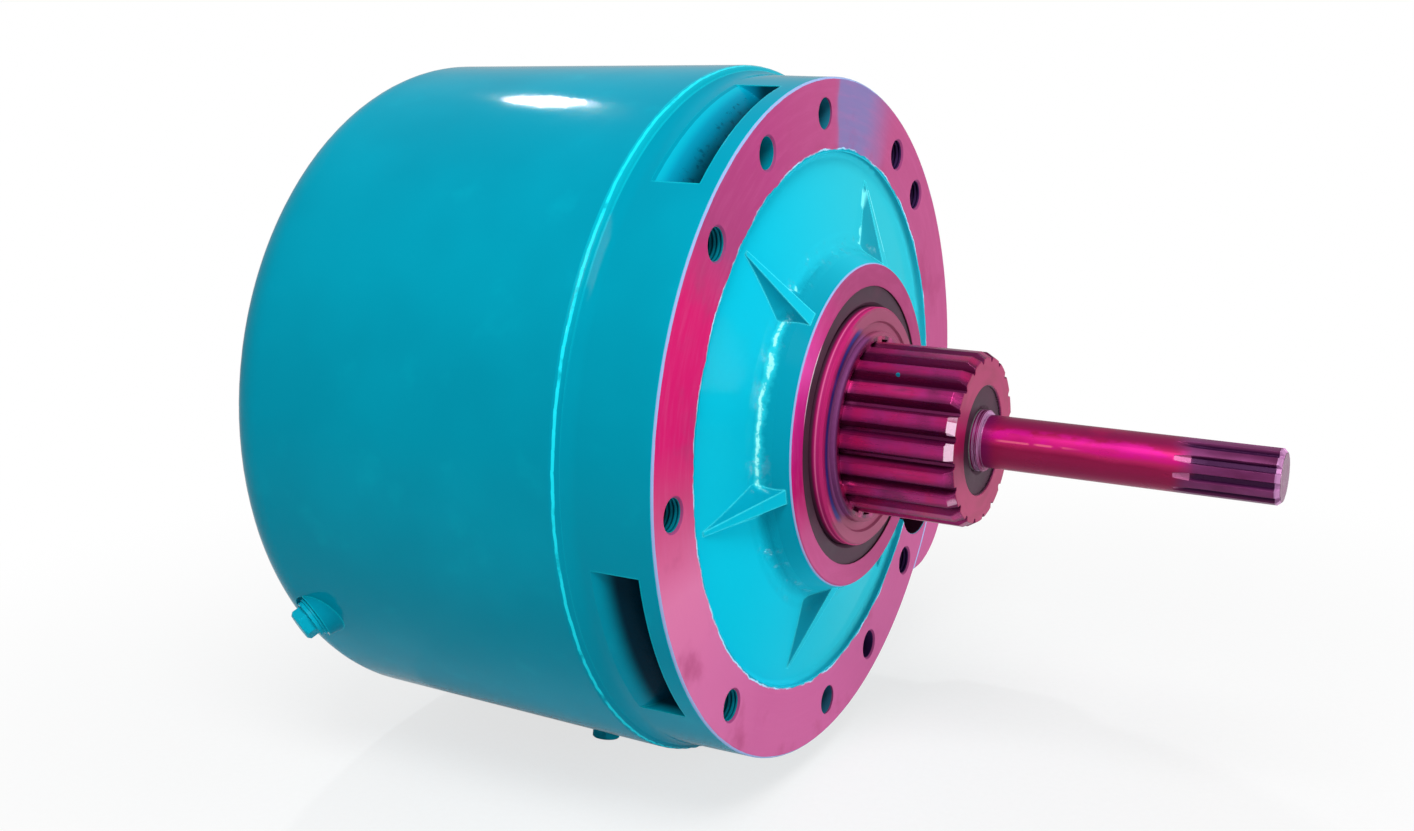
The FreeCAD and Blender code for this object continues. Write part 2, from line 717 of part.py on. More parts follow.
def outer_spacer():
    return ring((REAR_BEARING[0][1], FRONT_BEARING[0][0]), REAR_BEARING[2] - 6, REAR_BEARING[2])


def inner_spacer():
    return ring((REAR_BEARING[0][1], FRONT_BEARING[0][0]), SEAL_JOURNAL_R, SEAL_JOURNAL_R + 6)


def open_ring(x_pair, inner, outer, gap):
    """Retaining ring with a gap between its ends, on angle 90."""
    body = ring(x_pair, inner, outer)
    slot = Part.makeBox(abs(x_pair[1] - x_pair[0]) + 2, gap, outer + 5, Vector(min(x_pair) - 1, -gap / 2, 0))
    return body.cut(slot)


def hub_circlip():
    x = REAR_BEARING[0][0]
    return open_ring((x - 4, x), REAR_BEARING[2] - 7, REAR_BEARING[2] + 4, 24)


def shaft_circlip():
    x = FRONT_BEARING[0][1]
    return open_ring((x, x + 3), SEAL_JOURNAL_R - 2.5, SEAL_JOURNAL_R + 4.5, 16)


# Output shaft and the carrier of the output stage

def output_shaft():
    """Hollow splined shaft with the front carrier plate and its posts in one forging."""
    plate_back, plate_front = CARRIER2_FRONT
    shoulder_front = REAR_BEARING[0][0]
    clip_x = FRONT_BEARING[0][1]
    pocket_r, pocket_back = INPUT_BEARING[2], INPUT_BEARING[0][0]
    section = [
        (OUTPUT_NOSE, pocket_r + 0.8),
        (OUTPUT_NOSE, SPLINE_R - NOSE_CHAMFER),
        (OUTPUT_NOSE - NOSE_CHAMFER * 1.7, SPLINE_R),
        (COLLAR_END, SPLINE_R),
        (COLLAR_END, COLLAR_R - EDGE_CHAMFER),
        (COLLAR_END - EDGE_CHAMFER, COLLAR_R),
        (JOURNAL_END - 1.5, COLLAR_R),
        (JOURNAL_END - 1.5, COLLAR_R + 5),
        (JOURNAL_END, COLLAR_R + 6),
        (JOURNAL_END, SEAL_JOURNAL_R - 1.5),
        (JOURNAL_END - 1.5, SEAL_JOURNAL_R),
        (clip_x + 3, SEAL_JOURNAL_R),
        (clip_x + 3, SEAL_JOURNAL_R - 2.5),
        (clip_x, SEAL_JOURNAL_R - 2.5),
        (clip_x, SEAL_JOURNAL_R),
        (shoulder_front, SEAL_JOURNAL_R),
        (shoulder_front, SHOULDER_R),
        (plate_front, SHOULDER_R + 4),
        (plate_front, CARRIER2_R),
        (plate_back, CARRIER2_R),
        (plate_back, QUILL_BORE_R),
        (pocket_back, QUILL_BORE_R),
        (pocket_back, pocket_r),
        (OUTPUT_NOSE - 0.8, pocket_r),
    ]
    shaft = revolved(section)
    posts = around(carrier2_post(), PLANET2_COUNT, planet_angle(0.5, PLANET2_COUNT))
    shaft = joined(shaft, posts)
    cutter = groove(SPLINE_R, SPLINE_ROOT_R, 8.0, SPLINE_START, OUTPUT_NOSE + 1, SPLINE_CUTTER_R)
    cutters = around(cutter, SPLINE_TEETH, SPLINE_PHASE)
    cutters += at_planets(disc((plate_back - 1, plate_front + 1), PIN2_R),
                          PLANET2_COUNT, SUN2_TEETH, PLANET2_TEETH)
    cutters += around(carrier2_screw_core(), PLANET2_COUNT, planet_angle(0.5, PLANET2_COUNT))
    return without(shaft, cutters)


def carrier2_post():
    """Post between two planets, from the front plate to the rear plate."""
    return placed(disc((CARRIER2_REAR[1], CARRIER2_FRONT[0] + 1), POST2_R), POST2_CENTRE_R, 0)


def carrier2_screw_core():
    core = disc((CARRIER2_REAR[0], CARRIER2_REAR[1] + 24), TIE_R)
    return placed(core, POST2_CENTRE_R, 0)


def output_carrier_plate():
    """Rear plate of the output carrier, screwed to the posts."""
    plate = ring(CARRIER2_REAR, CARRIER2_BORE_R, CARRIER2_R)
    back = CARRIER2_REAR[0]
    counterbore = placed(disc((back - 1, back + 8), TIE_HEAD_R + 0.5), POST2_CENTRE_R, 0)
    screw_hole = placed(disc((back - 1, CARRIER2_REAR[1] + 1), TIE_CLEARANCE_R), POST2_CENTRE_R, 0)
    cutters = around(counterbore.fuse(screw_hole), PLANET2_COUNT, planet_angle(0.5, PLANET2_COUNT))
    cutters += at_planets(disc((back - 1, CARRIER2_REAR[1] + 1), PIN2_R),
                          PLANET2_COUNT, SUN2_TEETH, PLANET2_TEETH)
    return without(plate, cutters)


def low_head_screw(back, tip, shank_r, head_r, head_height):
    """Low-head socket screw along +X, with its head at the back."""
    shank = disc((back, tip), shank_r)
    head = disc((back, back + head_height), head_r)
    socket = prism(hexagon(shank_r * 1.35), (back - 1, back + head_height * 0.6))
    return shank.fuse(head).cut(socket)


def output_carrier_screws():
    back = CARRIER2_REAR[0]
    screw = low_head_screw(back + 0.5, CARRIER2_REAR[1] + 24, TIE_R, TIE_HEAD_R, 7.5)
    screws = placed(screw, POST2_CENTRE_R, 0)
    return group(around(screws, PLANET2_COUNT, planet_angle(0.5, PLANET2_COUNT)))


def stage2_pins():
    pin = disc((CARRIER2_REAR[0] + 1, CARRIER2_FRONT[1] - 1), PIN2_R)
    return group(at_planets(pin, PLANET2_COUNT, SUN2_TEETH, PLANET2_TEETH))


def end_washers(front_x, back_x, pin_r, count, sun_teeth, teeth):
    """Thrust washers on both sides of every planet of a stage."""
    outer = pin_r + WASHER_WIDTH
    pair = [ring((front_x - WASHER_THICKNESS, front_x), pin_r, outer),
            ring((back_x, back_x + WASHER_THICKNESS), pin_r, outer)]
    return group([copy for washer in pair for copy in at_planets(washer, count, sun_teeth, teeth)])


def stage2_washers():
    return end_washers(CARRIER2_FRONT[0], CARRIER2_REAR[1], PIN2_R, PLANET2_COUNT, SUN2_TEETH, PLANET2_TEETH)


def stage2_planet_x():
    gap = WASHER_THICKNESS + PLANET_END_GAP
    return CARRIER2_REAR[1] + gap, CARRIER2_FRONT[0] - gap


def stage2_sun():
    """Hollow sun of the output stage; its tail is splined into the input stage's carrier."""
    return sun(SUN2_TEETH, (CARRIER1_FRONT[0] + 1, CARRIER2_FRONT[0] - 2), INPUT_BODY_R + 3)


def stage_thrust_ring():
    """Bronze ring that keeps the two carriers apart."""
    back = CARRIER1_FRONT[1] + PLANET_END_GAP
    return ring((back, CARRIER2_REAR[0]), CARRIER2_BORE_R + 4, CARRIER2_BORE_R + 24)


# Carrier and gears of the input stage

def carrier1_post():
    return placed(disc((CARRIER1_REAR[1], CARRIER1_FRONT[0] + 1), POST1_R), POST1_CENTRE_R, 0)


def stage1_carrier():
    """Front plate of the input carrier, splined on the output stage's sun."""
    plate = disc(CARRIER1_FRONT, CARRIER1_R)
    posts = around(carrier1_post(), PLANET1_COUNT, planet_angle(0.5, PLANET1_COUNT))
    plate = joined(plate, posts)
    back, front = CARRIER1_FRONT
    cutters = [sun(SUN2_TEETH, (back - 1, front + 1), 0, SLIVER)]
    cutters += at_planets(disc((back - 1, front + 1), PIN1_R), PLANET1_COUNT, SUN1_TEETH, PLANET1_TEETH)
    core = placed(disc((CARRIER1_REAR[0], CARRIER1_REAR[1] + 18), 5.0), POST1_CENTRE_R, 0)
    cutters += around(core, PLANET1_COUNT, planet_angle(0.5, PLANET1_COUNT))
    return without(plate, cutters)


def stage1_carrier_plate():
    plate = ring(CARRIER1_REAR, CARRIER1_BORE_R, CARRIER1_R)
    back, front = CARRIER1_REAR
    counterbore = disc((back - 1, back + 6), 8.0)
    hole = placed(counterbore.fuse(disc((back - 1, front + 1), 5.5)), POST1_CENTRE_R, 0)
    cutters = around(hole, PLANET1_COUNT, planet_angle(0.5, PLANET1_COUNT))
    cutters += at_planets(disc((back - 1, front + 1), PIN1_R), PLANET1_COUNT, SUN1_TEETH, PLANET1_TEETH)
    return without(plate, cutters)


def stage1_carrier_screws():
    back = CARRIER1_REAR[0]
    screw = low_head_screw(back + 0.5, CARRIER1_REAR[1] + 18, 5.0, 7.5, 5.5)
    screws = placed(screw, POST1_CENTRE_R, 0)
    return group(around(screws, PLANET1_COUNT, planet_angle(0.5, PLANET1_COUNT)))


def stage1_pins():
    pin = disc((CARRIER1_REAR[0] + 1, CARRIER1_FRONT[1] - 1), PIN1_R)
    return group(at_planets(pin, PLANET1_COUNT, SUN1_TEETH, PLANET1_TEETH))


def stage1_washers():
    return end_washers(CARRIER1_FRONT[0], CARRIER1_REAR[1], PIN1_R, PLANET1_COUNT, SUN1_TEETH, PLANET1_TEETH)


def stage1_planet_x():
    gap = WASHER_THICKNESS + PLANET_END_GAP
    return CARRIER1_REAR[1] + gap, CARRIER1_FRONT[0] - gap


def planet_bush(index, count, sun_teeth, teeth, x_pair, pin_r, outer_r):
    """Bronze bush pressed into a planet, running on its pin."""
    bush = ring(x_pair, pin_r + RUNNING, outer_r)
    return placed(bush, planet_centre_r(sun_teeth, teeth), planet_angle(index, count))


# Input shaft

def input_shaft():
    """Long quill shaft: splined tip, seal and bearing seats, key seat for the sun, thin tail."""
    bearing_back = INPUT_BEARING[0][0]
    tail_back, tail_front = INPUT_TAIL_X
    clip_x = SUN1_X[0]
    section = [
        (INPUT_TIP, 0),
        (INPUT_TIP, INPUT_R - 2),
        (INPUT_TIP - 2, INPUT_R),
        (INPUT_STEP_X, INPUT_R),
        (INPUT_STEP_X, INPUT_SEAL_R - EDGE_CHAMFER),
        (INPUT_STEP_X - EDGE_CHAMFER, INPUT_SEAL_R),
        (INPUT_STEP_X - 2, INPUT_SEAL_R),
        (INPUT_STEP_X - 2, INPUT_SEAL_R - 0.8),
        (INPUT_STEP_X - 3, INPUT_SEAL_R - 0.8),
        (INPUT_STEP_X - 3, INPUT_SEAL_R),
        (bearing_back, INPUT_SEAL_R),
        (bearing_back, INPUT_SHOULDER_R),
        (bearing_back - 4, INPUT_SHOULDER_R),
        (bearing_back - 4, INPUT_BODY_R),
        (SUN1_X[1], INPUT_BODY_R),
        (SUN1_X[1], SUN1_SEAT_R),
        (clip_x, SUN1_SEAT_R),
        (clip_x, SUN1_SEAT_R - 0.8),
        (clip_x - CLIP_THICKNESS, SUN1_SEAT_R - 0.8),
        (clip_x - CLIP_THICKNESS, SUN1_SEAT_R),
        (tail_front, SUN1_SEAT_R),
        (tail_front, INPUT_TAIL_R),
        (tail_back + 1, INPUT_TAIL_R),
        (tail_back, INPUT_TAIL_R - 1),
        (tail_back, 0),
    ]
    shaft = revolved(section)
    cutter = groove(INPUT_R, INPUT_SPLINE_ROOT_R, 5.2, INPUT_SPLINE_START, INPUT_TIP + 1, INPUT_CUTTER_R)
    cutters = around(cutter, INPUT_SPLINE_TEETH, INPUT_SPLINE_PHASE)
    cutters.append(key_seat())
    return without(shaft, cutters)


def key_box(height_above):
    """Parallel key's box on angle 0, up to a height above the shaft."""
    length = SUN1_X[1] - SUN1_X[0] - 4
    corner = Vector(SUN1_X[0] + 2, SUN1_SEAT_R - KEY_DEPTH, -KEY_WIDTH / 2)
    return Part.makeBox(length, KEY_DEPTH + height_above, KEY_WIDTH, corner)


def key_seat():
    return key_box(2.0)


def sun_key():
    return key_box(KEY_HEIGHT - KEY_DEPTH)


def stage1_sun():
    """Sun of the input stage, keyed to the shaft."""
    body = sun(SUN1_TEETH, SUN1_X, SUN1_SEAT_R)
    slot = Part.makeBox(SUN1_X[1] - SUN1_X[0] + 2, SUN1_SEAT_R + KEY_HEIGHT - KEY_DEPTH, KEY_WIDTH,
                        Vector(SUN1_X[0] - 1, 0, -KEY_WIDTH / 2))
    return body.cut(slot)


def sun_circlip():
    x = SUN1_X[0]
    return open_ring((x - CLIP_THICKNESS, x), SUN1_SEAT_R - 0.8, SUN1_SEAT_R + 4, 6)


# Every node, by the name of its file

def nodes():
    parts = {
        "casing": casing(),
        "ring_gear": ring_gear(),
        "ring_gear_dowels": ring_gear_dowels(),
        "rear_cover": rear_cover(),
        "rear_cover_oring": rear_cover_oring(),
        "tie_bolts": tie_bolts(),
        "tie_bolt_washers": tie_bolt_washers(),
        "output_seal": output_seal(),
        "input_seal": input_seal(),
        "outer_spacer": outer_spacer(),
        "inner_spacer": inner_spacer(),
        "hub_circlip": hub_circlip(),
        "shaft_circlip": shaft_circlip(),
        "output_shaft": output_shaft(),
        "output_carrier_plate": output_carrier_plate(),
        "output_carrier_screws": output_carrier_screws(),
        "stage2_pins": stage2_pins(),
        "stage2_washers": stage2_washers(),
        "stage2_sun": stage2_sun(),
        "stage_thrust_ring": stage_thrust_ring(),
        "stage1_carrier": stage1_carrier(),
        "stage1_carrier_plate": stage1_carrier_plate(),
        "stage1_carrier_screws": stage1_carrier_screws(),
        "stage1_pins": stage1_pins(),
        "stage1_washers": stage1_washers(),
        "input_shaft": input_shaft(),
        "stage1_sun": stage1_sun(),
        "sun_key": sun_key(),
        "sun_circlip": sun_circlip(),
    }
    for name, place in PLUG_PLACES.items():
        parts[name + "_plug"] = plug(*place)
        parts[name + "_plug_washer"] = plug_washer(*place)
    bearings = {"front_bearing": FRONT_BEARING, "rear_bearing": REAR_BEARING,
                "input_bearing": INPUT_BEARING, "tail_bearing": TAIL_BEARING}
    for name, bearing in bearings.items():
        parts[name + "_outer"] = bearing_outer(bearing)
        parts[name + "_inner"] = bearing_inner(bearing)
        parts[name + "_rollers"] = bearing_rollers(bearing)
    stages = (
        ("stage1", PLANET1_COUNT, SUN1_TEETH, PLANET1_TEETH, stage1_planet_x(), PIN1_R, BUSH1_R),
        ("stage2", PLANET2_COUNT, SUN2_TEETH, PLANET2_TEETH, stage2_planet_x(), PIN2_R, BUSH2_R),
    )
    for stage, count, sun_teeth, teeth, x_pair, pin_r, bush_r in stages:
        for k in range(count):
            number = str(k + 1)
            parts[stage + "_planet_" + number] = planet(k, count, sun_teeth, teeth, x_pair, bush_r)
            parts[stage + "_bush_" + number] = planet_bush(k, count, sun_teeth, teeth, x_pair, pin_r, bush_r)
    return parts


os.makedirs("parts", exist_ok=True)
for node, shape in nodes().items():
    shape.exportStep(os.path.join("parts", node + ".step"))
    print(node, shape.isValid(), len(shape.Solids), round(shape.Volume / 1000.0, 1))
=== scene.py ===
import math
import bpy
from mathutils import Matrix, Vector

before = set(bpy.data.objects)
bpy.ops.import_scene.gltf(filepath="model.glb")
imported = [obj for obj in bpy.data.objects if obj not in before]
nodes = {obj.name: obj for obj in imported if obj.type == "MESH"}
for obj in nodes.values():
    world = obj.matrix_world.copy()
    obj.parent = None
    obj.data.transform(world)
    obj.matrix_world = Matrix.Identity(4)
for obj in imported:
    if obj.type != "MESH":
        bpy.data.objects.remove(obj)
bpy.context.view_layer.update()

# Casing. One ribbed casting of grey iron that holds the bearings and the ring gear. It is sprayed with
# gloss teal enamel; its flange ring and hub face are turned bare after that, masked by hand, and
# brushed over with a clear pink lacquer against rust.

ENAMEL = (0.0, 0.315, 0.450)
ENAMEL_THICK = (0.0, 0.280, 0.405)
ENAMEL_THIN_AND_SHEEN = (0.004, 0.62, 0.74)
# ENAMEL_PALE is the enamel lit: painted light on the end wall; the plugs blend towards it as well.
ENAMEL_PALE = (0.002, 0.44, 0.60)
ENAMEL_PALEST_LIT = (0.026, 0.445, 0.545)
ENAMEL_FLANK_SHADE = (0.0, 0.110, 0.175)
ENAMEL_SHADE_AND_CHIPS = (0.0, 0.012, 0.028)
ENAMEL_CREST_HIGHLIGHT = (0.010, 0.72, 0.86)
ENAMEL_EDGE_HIGHLIGHT = (0.06, 0.80, 0.90)
RIB_GLINT = (0.24, 0.90, 0.92)
HUB_FOOT_SHEEN = (0.020, 0.62, 0.74)
HUB_FOOT_GLINT = (0.32, 0.93, 0.91)
EDGE_HIGHLIGHT_BLUE = (0.28, 0.38, 0.66)
MASK_LINE = (0.30, 0.60, 0.80)
BORE_GLINT = (0.72, 0.60, 0.68)
HOLE_LIP = (0.27, 0.050, 0.16)
HOLE_TEAL = (0.0, 0.24, 0.33)
HOLE_VIOLET = (0.050, 0.020, 0.10)
HOLE_SHADE = (0.0, 0.010, 0.016)
EAR_BORE_BARE_AND_SHADE = (0.022, 0.004, 0.012)
RAW_CASTING = (0.055, 0.052, 0.050)
RAW_ROUGHNESS = (0.62, 0.62, 0.62)
LACQUER_PINK = (0.38, 0.070, 0.19)
LACQUER_DEEP = (0.36, 0.045, 0.17)
LACQUER_DEEPER = (0.33, 0.040, 0.15)
LACQUER_MAGENTA = (0.54, 0.008, 0.125)
LACQUER_RED = (0.48, 0.045, 0.155)
LACQUER_PALE = (0.555, 0.145, 0.30)
LACQUER_SOFT = (0.50, 0.12, 0.285)
LACQUER_ROSE = (0.45, 0.095, 0.25)
LACQUER_LILAC = (0.19, 0.15, 0.34)
LACQUER_HUB = (0.32, 0.058, 0.155)
LACQUER_STROKE = (0.52, 0.12, 0.29)
LACQUER_BLOT = (0.30, 0.040, 0.13)
SKIN_X, LIP_BACK_X = -0.00003, -0.0011
FLANGE_BACK_X, PLAIN_WALL_END_X = -0.0365, -0.0111
RING_EDGE_R, RING_OUTER_R = 0.1595, 0.2
HUB_EDGE_R, HUB_FOOT_R, HUB_BORE_R = 0.0948, 0.1036, 0.0822
HUB_FACE_X, BORE_END_X = 0.0232, 0.0236
INSIDE_X, INSIDE_R = -0.016, 0.1895
END_WALL_X, END_WALL_R = -0.006, 0.1585
CREST_X, CREST_R = -0.0560, 0.2034
POCKET_BACK_X, POCKET_FRONT_X, POCKET_TOP_R = -0.0413, -0.0109, 0.2003
POCKET_RIM_X, POCKET_FLOOR_R = -0.0445, 0.1645
BOLT_CIRCLE_R = 0.18
TAPPED_HOLES = (0.0, 43.2, 56.8, 138.5, 183.7, 229.4, 316.5)
PLAIN_HOLES = (92.7, 116.1, 272.7, 293.7)
TAPPED_R, PLAIN_R, HOLE_LIP_R = 0.0091, 0.0092, 0.0101
THREAD_WAVES = 2500.0
EAR_CENTRE_R, EAR_ANGLE, EAR_BORE_R = 0.1725, -28.5, 0.0274
UPPER_RIB = 67.8


class Finish:
    """A material in the making. It adds shader nodes and joins them."""

    def __init__(self, name):
        self.material = bpy.data.materials.new(name)
        self.material.use_nodes = True
        self.tree = self.material.node_tree
        self.surface = self.tree.nodes["Principled BSDF"]
        self.place = self.add("ShaderNodeTexCoord").outputs["Object"]

    def add(self, kind, settings=None, **inputs):
        node = self.tree.nodes.new(kind)
        for key, value in (settings or {}).items():
            setattr(node, key, value)
        for key, value in inputs.items():
            self.join(value, node.inputs[key.replace("_", " ")])
        return node

    def join(self, value, socket):
        if isinstance(value, bpy.types.NodeSocket):
            self.tree.links.new(value, socket)
        else:
            socket.default_value = value

    def math(self, operation, *values):
        node = self.add("ShaderNodeMath", {"operation": operation})
        for value, socket in zip(values, node.inputs):
            self.join(value, socket)
        return node.outputs[0]

    def all_of(self, *shares):
        """The shares multiplied, so 1 only where every one of them is."""
        product = shares[0]
        for share in shares[1:]:
            product = self.math("MULTIPLY", product, share)
        return product

    def any_of(self, *shares):
        """The largest of the shares."""
        largest = shares[0]
        for share in shares[1:]:
            largest = self.math("MAXIMUM", largest, share)
        return largest

    def above(self, limit, value):
        return self.math("GREATER_THAN", value, limit)

    def below(self, limit, value):
        return self.math("LESS_THAN", value, limit)

    def between(self, low, high, value):
        """1 where the value lies between two limits."""
        return self.all_of(self.above(low, value), self.below(high, value))

    def apart(self, value, middle):
        """How far a value is from a middle, on either side of it."""
        return self.math("ABSOLUTE", self.math("SUBTRACT", value, middle))

    def ease(self, low, high, value):
        """The value mapped smoothly so that low becomes 0 and high becomes 1."""
        node = self.add("ShaderNodeMapRange", {"interpolation_type": "SMOOTHSTEP"})
        self.join(value, node.inputs["Value"])
        node.inputs["From Min"].default_value = low
        node.inputs["From Max"].default_value = high
        return node.outputs["Result"]

    def noise(self, scale, detail=3.0, roughness=0.55, place=None):
        node = self.add("ShaderNodeTexNoise", Scale=scale, Detail=detail, Roughness=roughness)
        self.join(place or self.place, node.inputs["Vector"])
        return node.outputs["Fac"]

    def streaks(self, x_scale, radius_scale, turn_scale, detail=2.0, roughness=0.5):
        """Noise drawn out along the axis or round it; a larger scale is finer that way."""
        joined = self.add("ShaderNodeCombineXYZ")
        scales = (x_scale, radius_scale, turn_scale)
        for value, scale, socket in zip(self.round_axis(), scales, joined.inputs):
            self.join(self.math("MULTIPLY", value, scale), socket)
        return self.noise(1.0, detail, roughness, joined.outputs[0])

    def sides(self):
        """(distance towards the far side, height) from the shafts' axis."""
        _, out, up = self.add("ShaderNodeSeparateXYZ", Vector=self.place).outputs
        return out, up

    def round_axis(self):
        """(x, radius, turn) round the shafts' axis; the turn is 0 at the far side, 0.25 at the top
        and 0.5 at the near side."""
        if not hasattr(self, "polar"):
            x, y, z = self.add("ShaderNodeSeparateXYZ", Vector=self.place).outputs
            square = self.math("ADD", self.math("MULTIPLY", y, y), self.math("MULTIPLY", z, z))
            angle = self.math("ARCTAN2", self.math("MULTIPLY", z, -1.0), self.math("MULTIPLY", y, -1.0))
            turn = self.math("MULTIPLY_ADD", angle, 0.5 / math.pi, 0.5)
            self.polar = x, self.math("SQRT", square), turn
        return self.polar

    def ramp(self, value, *stops):
        """The value through a colour ramp; each stop is (position, colour or grey)."""
        node = self.add("ShaderNodeValToRGB")
        self.join(value, node.inputs["Fac"])
        marks = node.color_ramp.elements
        while len(marks) < len(stops):
            marks.new(0.5)
        for mark, (position, colour) in zip(marks, stops):
            mark.position = position
            mark.color = (*colour, 1) if isinstance(colour, tuple) else (colour, colour, colour, 1)
        return node.outputs["Color"]

    def blend(self, share, low, high):
        node = self.add("ShaderNodeMix", {"data_type": "RGBA"})
        self.join(share, node.inputs["Factor"])
        low_socket, high_socket = [s for s in node.inputs if s.type == "RGBA"]
        for value, socket in ((low, low_socket), (high, high_socket)):
            self.join((*value, 1) if isinstance(value, tuple) else value, socket)
        return [s for s in node.outputs if s.type == "RGBA"][0]

    def bump(self, height, distance, strength=1.0, under=None):
        node = self.add("ShaderNodeBump", Height=height, Distance=distance, Strength=strength)
        if under is not None:
            self.join(under, node.inputs["Normal"])
        return node.outputs["Normal"]

    def facing(self, way):
        """How far a surface faces one way, from -1 to 1."""
        alike = self.add("ShaderNodeVectorMath", {"operation": "DOT_PRODUCT"})
        self.join(self.add("ShaderNodeNewGeometry").outputs["Normal"], alike.inputs[0])
        self.join(way, alike.inputs[1])
        return alike.outputs["Value"]

    def broken_edges(self, radius):
        """Normals that round every sharp edge, as an emery cloth leaves it."""
        return self.add("ShaderNodeBevel", {"samples": 4}, Radius=radius).outputs["Normal"]

    def sharp_places(self, radius):
        """1 along the edges of the metal, 0 on its faces."""
        return self.ease(0.985, 0.90, self.facing(self.broken_edges(radius)))

    def done(self, colour, roughness, normal=None, **fixed):
        for value, name in ((colour, "Base Color"), (roughness, "Roughness"), (normal, "Normal")):
            if value is not None:
                self.join((*value, 1) if isinstance(value, tuple) else value, self.surface.inputs[name])
        for name, value in fixed.items():
            self.surface.inputs[name.replace("_", " ")].default_value = value
        return self.material


def dress(material, *names):
    for name in names:
        for slot in nodes[name].material_slots:
            slot.material = material


def enamel_colour(mix):
    """Teal enamel, thicker in places; lighter on sharp edges: thin enamel and painted highlight."""
    coat = mix.blend(mix.ease(0.35, 0.65, mix.noise(7.0)), ENAMEL_THICK, ENAMEL)
    coat = mix.blend(mix.all_of(mix.ease(0.56, 0.80, mix.noise(31.0, 5.0)), 0.10), coat, ENAMEL_THIN_AND_SHEEN)
    # Lighter along sharp edges: partly thin enamel, partly painted highlight.
    return mix.blend(mix.all_of(mix.sharp_places(0.0016), 0.75), coat, ENAMEL_THIN_AND_SHEEN)


def shoulder_highlight(mix, colour):
    """Painted highlight: a thin bright line on the shoulder's crest, lighter enamel beside it on top."""
    x, radius, _ = mix.round_axis()
    _, up = mix.sides()
    wander = mix.math("MULTIPLY_ADD", mix.noise(26.0, 4.0), 0.0020, CREST_X)
    line = mix.all_of(mix.below(0.00075, mix.apart(x, wander)), mix.above(CREST_R, radius),
                      mix.ease(0.28, 0.46, mix.noise(60.0, 4.0)))
    # Lighter on top beside the crest: painted light.
    paler = mix.all_of(mix.between(CREST_X - 0.0010, CREST_X + 0.0045, x), mix.ease(0.02, 0.17, up), 0.40)
    return mix.blend(line, mix.blend(paler, colour, ENAMEL_THIN_AND_SHEEN), ENAMEL_CREST_HIGHLIGHT)


def end_wall_painted_light(mix):
    """Painted light on the end wall, with painted shade on near-facing flanks and highlights on edges."""
    _, radius, _ = mix.round_axis()
    out, _ = mix.sides()
    near_hub = mix.below(0.150, radius)
    colour = mix.blend(mix.ease(-0.12, 0.08, out), ENAMEL_PALE, ENAMEL_PALEST_LIT)
    # Darker on flanks that face the near side: painted shade.
    flank_shade = mix.all_of(mix.ease(0.25, 0.75, mix.facing((0.0, -0.95, 0.31))), near_hub, 0.44)
    colour = mix.blend(flank_shade, colour, ENAMEL_FLANK_SHADE)
    # Lighter on sharp edges near the hub: painted highlight.
    return mix.blend(mix.all_of(mix.sharp_places(0.0014), near_hub, 0.9), colour, ENAMEL_EDGE_HIGHLIGHT)


def rib_glints(mix, end_wall, colour):
    """Painted glints along the foot of the upper rib and a painted bright line along its crest."""
    out, up = mix.sides()
    slope = math.radians(UPPER_RIB)
    along = mix.math("MULTIPLY_ADD", up, math.sin(slope), mix.math("MULTIPLY", out, math.cos(slope)))
    beside = mix.math("MULTIPLY_ADD", up, math.cos(slope), mix.math("MULTIPLY", out, -math.sin(slope)))
    from_foot = mix.apart(beside, mix.math("MULTIPLY_ADD", along, -0.248, 0.0379))
    from_crest = mix.apart(beside, mix.math("MULTIPLY_ADD", along, 0.053, -0.0090))
    glint_breaks = mix.ease(0.44, 0.56, mix.noise(105.0, 3.0, 0.6))
    glint = mix.any_of(mix.all_of(mix.ease(0.0022, 0.0008, from_foot), glint_breaks),
                       mix.ease(0.0009, 0.0004, from_crest))
    return mix.blend(mix.all_of(glint, mix.between(0.106, 0.143, along), end_wall, 0.8), colour, RIB_GLINT)


def hub_foot_glint(mix, colour):
    """Painted highlight in the corner at the hub's foot: a sheen with a broken, glinting core."""
    x, radius, turn = mix.round_axis()
    wander = mix.math("MULTIPLY_ADD", mix.noise(85.0, 4.0, 0.7), 0.0050, -0.0025)
    off = mix.apart(mix.math("ADD", radius, wander), HUB_FOOT_R)
    near = mix.all_of(mix.ease(0.374, 0.384, turn), mix.ease(0.528, 0.518, turn))
    over = mix.all_of(mix.between(0.262, 0.345, turn), mix.ease(0.50, 0.58, mix.noise(60.0, 3.0)), 0.8)
    along = mix.all_of(mix.any_of(near, over), mix.between(0.0005, 0.016, x))
    glint_breaks = mix.ease(0.38, 0.52, mix.noise(130.0, 3.0, 0.7))
    colour = mix.blend(mix.all_of(mix.ease(0.0028, 0.0006, off), along, 0.75), colour, HUB_FOOT_SHEEN)
    return mix.blend(mix.all_of(mix.ease(0.0010, 0.0003, off), along, glint_breaks), colour, HUB_FOOT_GLINT)


